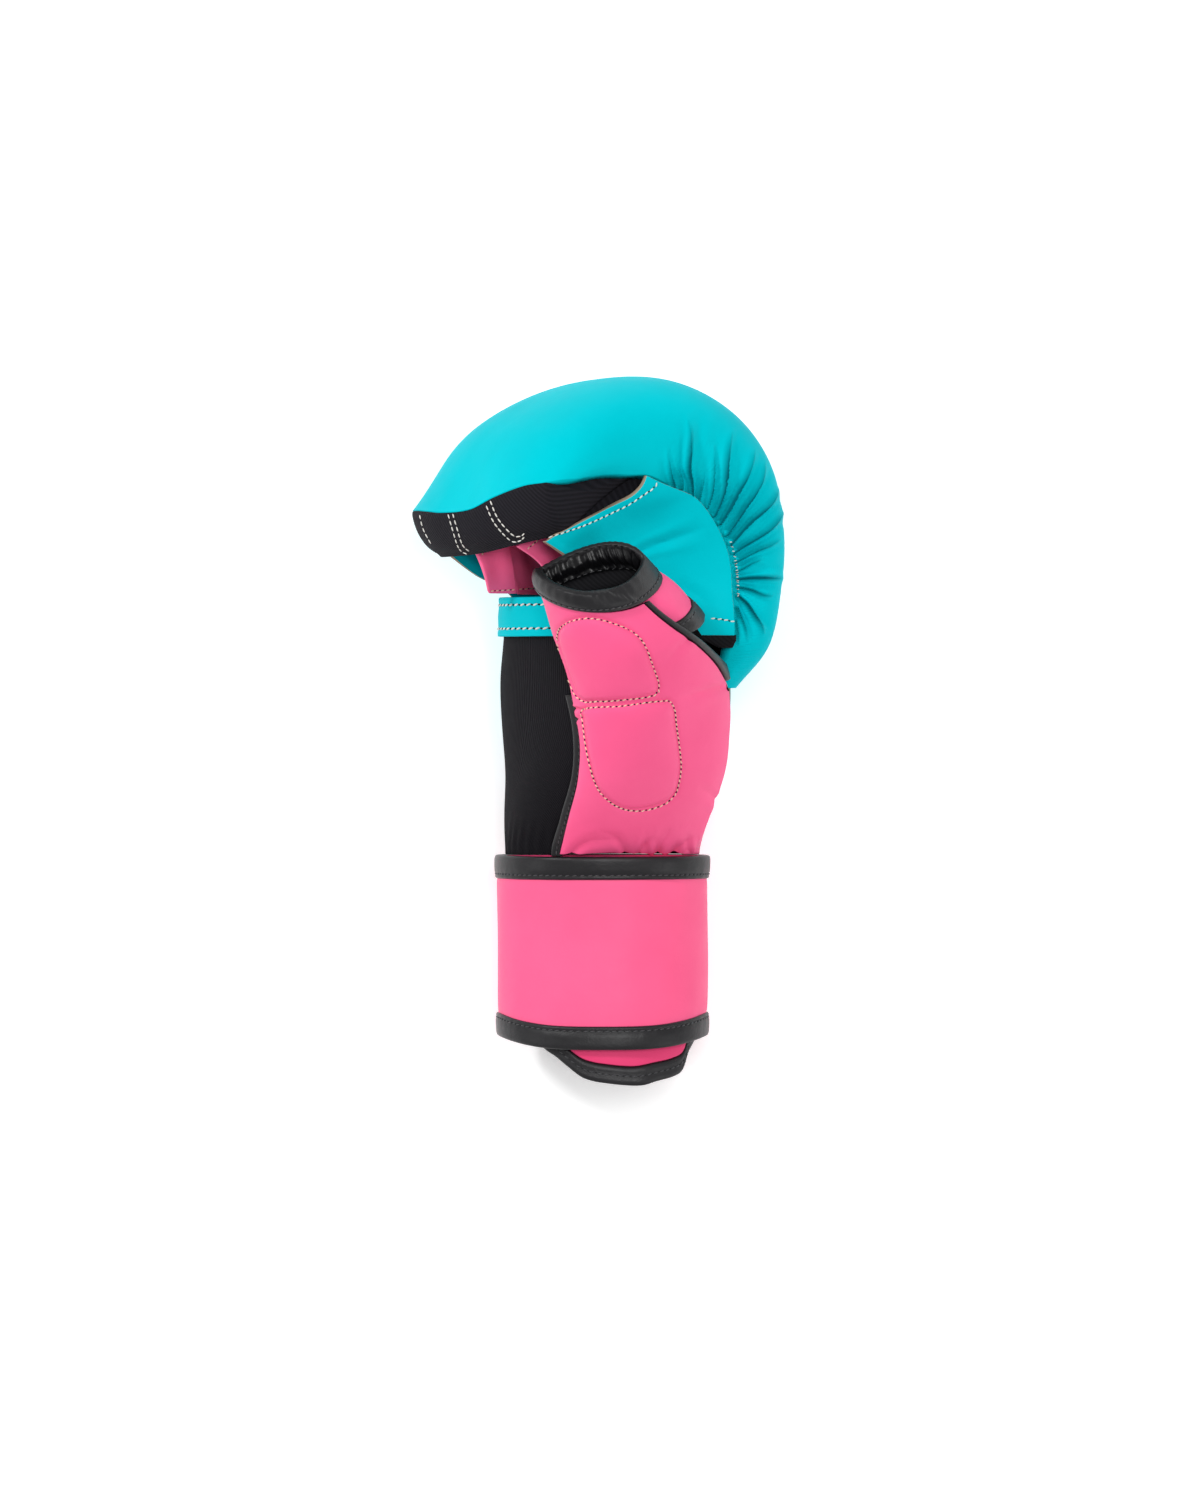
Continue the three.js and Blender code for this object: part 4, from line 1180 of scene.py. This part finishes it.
thumb_shape = bmesh.new()
thumb_steps = ((160, 175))
thumb_faces = shaped_grid(thumb_shape, *thumb_steps, thumb_panel)
face_away(thumb_shape, thumb_faces, (12, 130, 40))
pink_layers = [pink_leather, lining_cloth, pink_leather]
thumb_leather = finished("thumb_leather", thumb_shape, pink_layers, "thumb_panel")
walled(thumb_leather, THUMB_THICK - 0.5)
thumb_tree = surface_tree(thumb_leather)
thumb_rows = [seen_line(thumb_tree, [*row[::3], row[0]]) for row in pad_rows]
stitched("thumb_pad_stitches", thumb_tree, thumb_rows, 2.25, 1.5, 0.6, cream_thread, 0.35)


# The thumb sleeve's mouth is bound with soft black leather, drawn up so that it puckers inside.
# Behind the thumb a bound pink loop closes the sleeve, and black bindings finish its free edges.
def bound_finish(name, colour, roughness=0.4):
    """Soft black binding leather: satin, with fine puckers across the tape."""
    return leather_finish(name, colour, [channel * 0.7 for channel in colour], roughness, 0.12, 0.22, 0.3)


black_binding = bound_finish("black_binding", (0.016, 0.0155, 0.0175))
mouth_lining = bound_finish("mouth_lining", (0.006, 0.006, 0.007), 0.3)
black_thread = thread_finish("black_thread", (0.045, 0.045, 0.05), 0.4)


def bound(name, node, steps, place, low, high, squareness, ring=False):
    """Makes a black leather binding that stands for its node."""
    shape = bmesh.new()
    rolled(shape, *steps, place, low, high, squareness, ring)
    return finished(name, shape, [black_binding], node)


def bound_stitches(name, piece, place, count):
    """The row of black thread that holds a binding."""
    stitched(name, surface_tree(piece), [row_of(place, count)], 2.3, 1.8, 0.58, black_thread, 0.2)


def mouth_binding(u, share, height):
    y = mix(THUMB_TOP + SEAM_GAP, 186.5, share)
    angle = 2 * math.pi * u
    pucker = 0.1 * math.sin(61 * angle / 2 + 2 * math.sin(3 * angle)) * ease(0.2, 1, share)
    fold_in = -1.6 * math.exp(-(((2 * u - 0.66) / 0.16) ** 2)) * ease(0.35, 1, share)
    lap = mix(0.85, 0.64, share)
    lapped = (1.1 * (1 - ease(lap, lap + 0.025, 2 * u)) - 0.25) * (1 if height > 0 else 0)
    pulled = trough(share, 0.2, 0.3, 0.08) * (1 if height > 0 else 0)
    return on_thumb(2 * u, y, height + pucker + fold_in + lapped - pulled)


mouth_piece = bound(
    "thumb_mouth_binding", "thumb_tip_binding", (260, 32), mouth_binding, -THUMB_THICK, 0.7, 3, True
)
bound_stitches("thumb_mouth_stitches", mouth_piece, lambda along: mouth_binding(along, 0.2, 0.7), 300)


def mouth_inside(u, v):
    """The gathered lining just inside the mouth, and the smooth tube below its row of thread."""
    angle = 2 * math.pi * u
    ruffle = 1.5 * (abs(math.sin(9.5 * angle + 1.6 * math.sin(3 * angle))) - 0.6)
    ruffle += 0.8 * (abs(math.sin(17 * angle + 1.3 * math.sin(4 * angle + 1))) - 0.6)
    gathered = math.sin(math.pi * min(1, v / 0.22)) * 1.1 + 0.06
    inner = -THUMB_THICK + 0.6 - 2.6 * ease(0, 0.1, v) + 0.9 * ease(0.12, 0.2, v) - 2.5 * ease(0.2, 0.35, v)
    row = 0.8 * math.exp(-(((v - 0.2) / 0.02) ** 2))
    return on_thumb(2 * u, mix(186.3, 150, v), inner + gathered * ruffle * 0.8 - row)


inside_shape = bmesh.new()
inside_faces = shaped_grid(inside_shape, 320, 90, mouth_inside, ring=True)
face_away(inside_shape, inside_faces, (-2, 172, 132))
bmesh.ops.reverse_faces(inside_shape, faces=inside_faces)
inside_map = inside_shape.loops.layers.uv.verify()
for face in inside_faces:
    if face.loops[0][inside_map].uv.y > 0.22:
        face.material_index = 1
inside_piece = finished(
    "thumb_mouth_lining", inside_shape, [mouth_lining, lining_cloth]
)
inside_tree = surface_tree(inside_piece)
lining_thread_rows = [row_of(lambda along: mouth_inside(along, 0.2), 300)]
stitched(
    "thumb_lining_stitches", inside_tree, lining_thread_rows, 2.6, 1.9, 0.4, black_thread, 0.1, False
)


def loop_across(u, y):
    return mix(read_table(THUMB_RIGHT, y)[0] + 0.02, 1.98, u)


def under_edge(u):
    """How far the loop dives under the bound free edge that it comes out of."""
    return 3.2 * (1 - ease(0, 0.07, u))


def loop_leather(u, v):
    y = mix(170.3, 179.3, v)
    return on_thumb(loop_across(u, y), y, 0.9 * math.sin(math.pi * v) - 0.3 - under_edge(u))


loop_shape = bmesh.new()
loop_faces = shaped_grid(loop_shape, 80, 14, loop_leather)
face_away(loop_shape, loop_faces, (-2, 180, 132))
loop_piece = finished("thumb_loop_leather", loop_shape, pink_layers, "thumb_loop")
walled(loop_piece, LEATHER)


def loop_binding(u, share, height):
    pulled = trough(share, 0.75, 0.3, 0.1) * (1 if height > 0 else 0)
    y = mix(165.7, 170.2, share)
    return on_thumb(loop_across(u, y), y, height - pulled - under_edge(u))


loop_edge = bound("thumb_loop_edge", "thumb_loop_binding", (90, 28), loop_binding, -LEATHER, 0.5, 4)
bound_stitches("thumb_loop_stitches", loop_edge, lambda along: loop_binding(along, 0.75, 0.5), 100)


def free_edge(u, share, height):
    y = mix(151, THUMB_TOP, u)
    start = read_table(THUMB_RIGHT, y)[0] + 0.008
    return on_thumb(start + 0.035 * share, y, height)


bound("thumb_back_edge", "thumb_edge_binding_back", (60, 20), free_edge, -3, 0.4, 3)
PALM_SIDE = [(88, 115.5), (103, 123), (118, 132), (132, 140.5), (150, 150.5)]


def palm_side_edge(u, share, height):
    y = mix(88.35, 149, u)
    pulled = trough(share, 0.45, 0.3, 0.13) * (1 if height > 2 else 0)
    return on_sleeve(read_table(PALM_SIDE, y)[0] - 2 + 7 * share, y, height - pulled)


palm_edge = bound("thumb_palm_edge", "thumb_edge_binding_palm", (90, 24), palm_side_edge, 0.8, 3.2, 3.5)
bound_stitches("thumb_palm_edge_stitches", palm_edge, lambda along: palm_side_edge(along, 0.45, 3.2), 100)


# The cuff is a sleeve of pink leather under the wrist strap. Its hem hangs out below the strap in
# two tongues and is bound in black.
HEM = [
    (0, 20.5), (25, 13), (33, 6), (42, 3.7), (59, 1.8), (76, 0.3), (98, 2.7), (110, 8), (120, 12.9),
    (140, 18.5), (180, 20.5),
]
HEM_TAPE = 7
STRAP_TAPE = 9


def hem(angle):
    return read_table(HEM, abs((angle + 540) % 360 - 180))[0]


cuff_leather = leather_finish("cuff_leather", (0.8, 0.062, 0.19), (0.74, 0.05, 0.165), 0.5)
cuff_shape = bmesh.new()
cuff_faces = shaped_grid(
    cuff_shape, 180, 24,
    lambda u, v: on_sleeve(360 * u, mix(hem(360 * u) + HEM_TAPE + SEAM_GAP, CUFF_TOP, v), 0),
    ring=True,
)
face_away(cuff_shape, cuff_faces, (-1, 45, 33))
cuff_layers = [cuff_leather, lining_cloth, cuff_leather]
cuff_piece = finished("cuff_sleeve", cuff_shape, cuff_layers, "cuff")
walled(cuff_piece, LEATHER)


def cuff_binding(u, share, height):
    angle = 360 * u
    lump = 0.3 * math.exp(-(((angle - 66) / 7) ** 2)) + 0.35 * math.exp(-(((angle - 122) / 6) ** 2))
    pulled = trough(share, 0.5, 0.35, 0.12) * (1 if height > 0 else 0)
    y = hem(angle) + HEM_TAPE * share - 1.5 * lump * (1 - share)
    return on_sleeve(angle, y, height - pulled + lump * (1 if height > -1 else -0.3))


hem_piece = bound(
    "cuff_hem_binding", "cuff_binding", (240, 28), cuff_binding, -LEATHER - 0.2, 0.2, 3.5, True
)
bound_stitches("cuff_hem_stitches", hem_piece, lambda along: cuff_binding(along, 0.5, 0.2), 300)


# The wide wrist strap is padded pink leather, bound in black along both edges. It goes round the
# wrist, and its tab closes on the back of the wrist.
STRAP_TOP = 88
STRAP_LAP = 1.5


def strap_bottom(angle):
    return 14 + 5 * abs(math.cos(math.radians(angle))) ** 3


def strap_sheet(u, v):
    angle = 360 * u
    low = strap_bottom(angle) + STRAP_TAPE + SEAM_GAP - STRAP_LAP
    y = mix(low, STRAP_TOP - STRAP_TAPE - SEAM_GAP + STRAP_LAP, v)
    turn = math.radians(angle)
    sway = 0.3 * math.sin(turn * 5 + 1) * math.sin(math.pi * v) + 0.07 * math.sin(turn * 13 + 4 * v)
    edge = 0.5 * math.exp(-v / 0.03) + 0.5 * math.exp(-(1 - v) / 0.03)
    return on_sleeve(angle, y, 3.5 + sway - edge)


strap_leather = leather_finish("strap_leather", (0.97, 0.128, 0.288), (0.92, 0.11, 0.26), 0.45)
strap_shape = bmesh.new()
strap_faces = shaped_grid(strap_shape, 220, 50, strap_sheet, ring=True)
face_away(strap_shape, strap_faces, (-1, 50, 33))
strap_layers = [strap_leather, lining_cloth, strap_leather]
strap_piece = finished("wrist_strap_leather", strap_shape, strap_layers, "wrist_strap")
walled(strap_piece, 2.3)


def strap_edge(start_at, seam, u, share, height):
    angle = 360 * u
    pulled = trough(share, seam, 0.4, 0.07) * (1 if height > 2 else 0)
    near_row = math.exp(-(((share - seam) / 0.22) ** 2))
    turn = math.radians(angle)
    ripple = 0.05 * near_row * math.sin(turn * 47 + 2 * math.sin(turn * 7)) * (1 if height > 2 else 0)
    return on_sleeve(angle, start_at(angle) + STRAP_TAPE * share, height - pulled + ripple)


for tape_name, node, start_at, seam in (
    ("strap_edge_lower", "strap_binding_lower", strap_bottom, 0.8),
    ("strap_edge_upper", "strap_binding_upper", lambda angle: STRAP_TOP - STRAP_TAPE, 0.2),
):
    place = functools.partial(strap_edge, start_at, seam)
    tape = bound(tape_name, node, (260, 40), place, 1.1, 4.4, 4, True)
    bound_stitches(tape_name + "_stitches", tape, lambda along: place(along, seam, 4.2), 360)


def strap_tab(u, share, height):
    angle = mix(-62, -20, u)
    return on_sleeve(angle, mix(strap_bottom(angle) + 11, 77, share), height)


tab_shape = bmesh.new()
rolled(tab_shape, 60, 40, strap_tab, 3.95, 5.95, 7)
tab_piece = finished("strap_tab", tab_shape, [strap_leather], "strap_end")
tab_rows = [
    row_of(lambda along: strap_tab(mix(0.05, 0.95, along), 0.07, 5.95), 60),
    row_of(lambda along: strap_tab(mix(0.05, 0.95, along), 0.93, 5.95), 60),
    row_of(lambda along: strap_tab(0.95, mix(0.07, 0.93, along), 5.95), 60),
]
stitched("strap_tab_stitches", surface_tree(tab_piece), tab_rows, 2.3, 1.7, 0.42, cream_thread, 0.1, False)
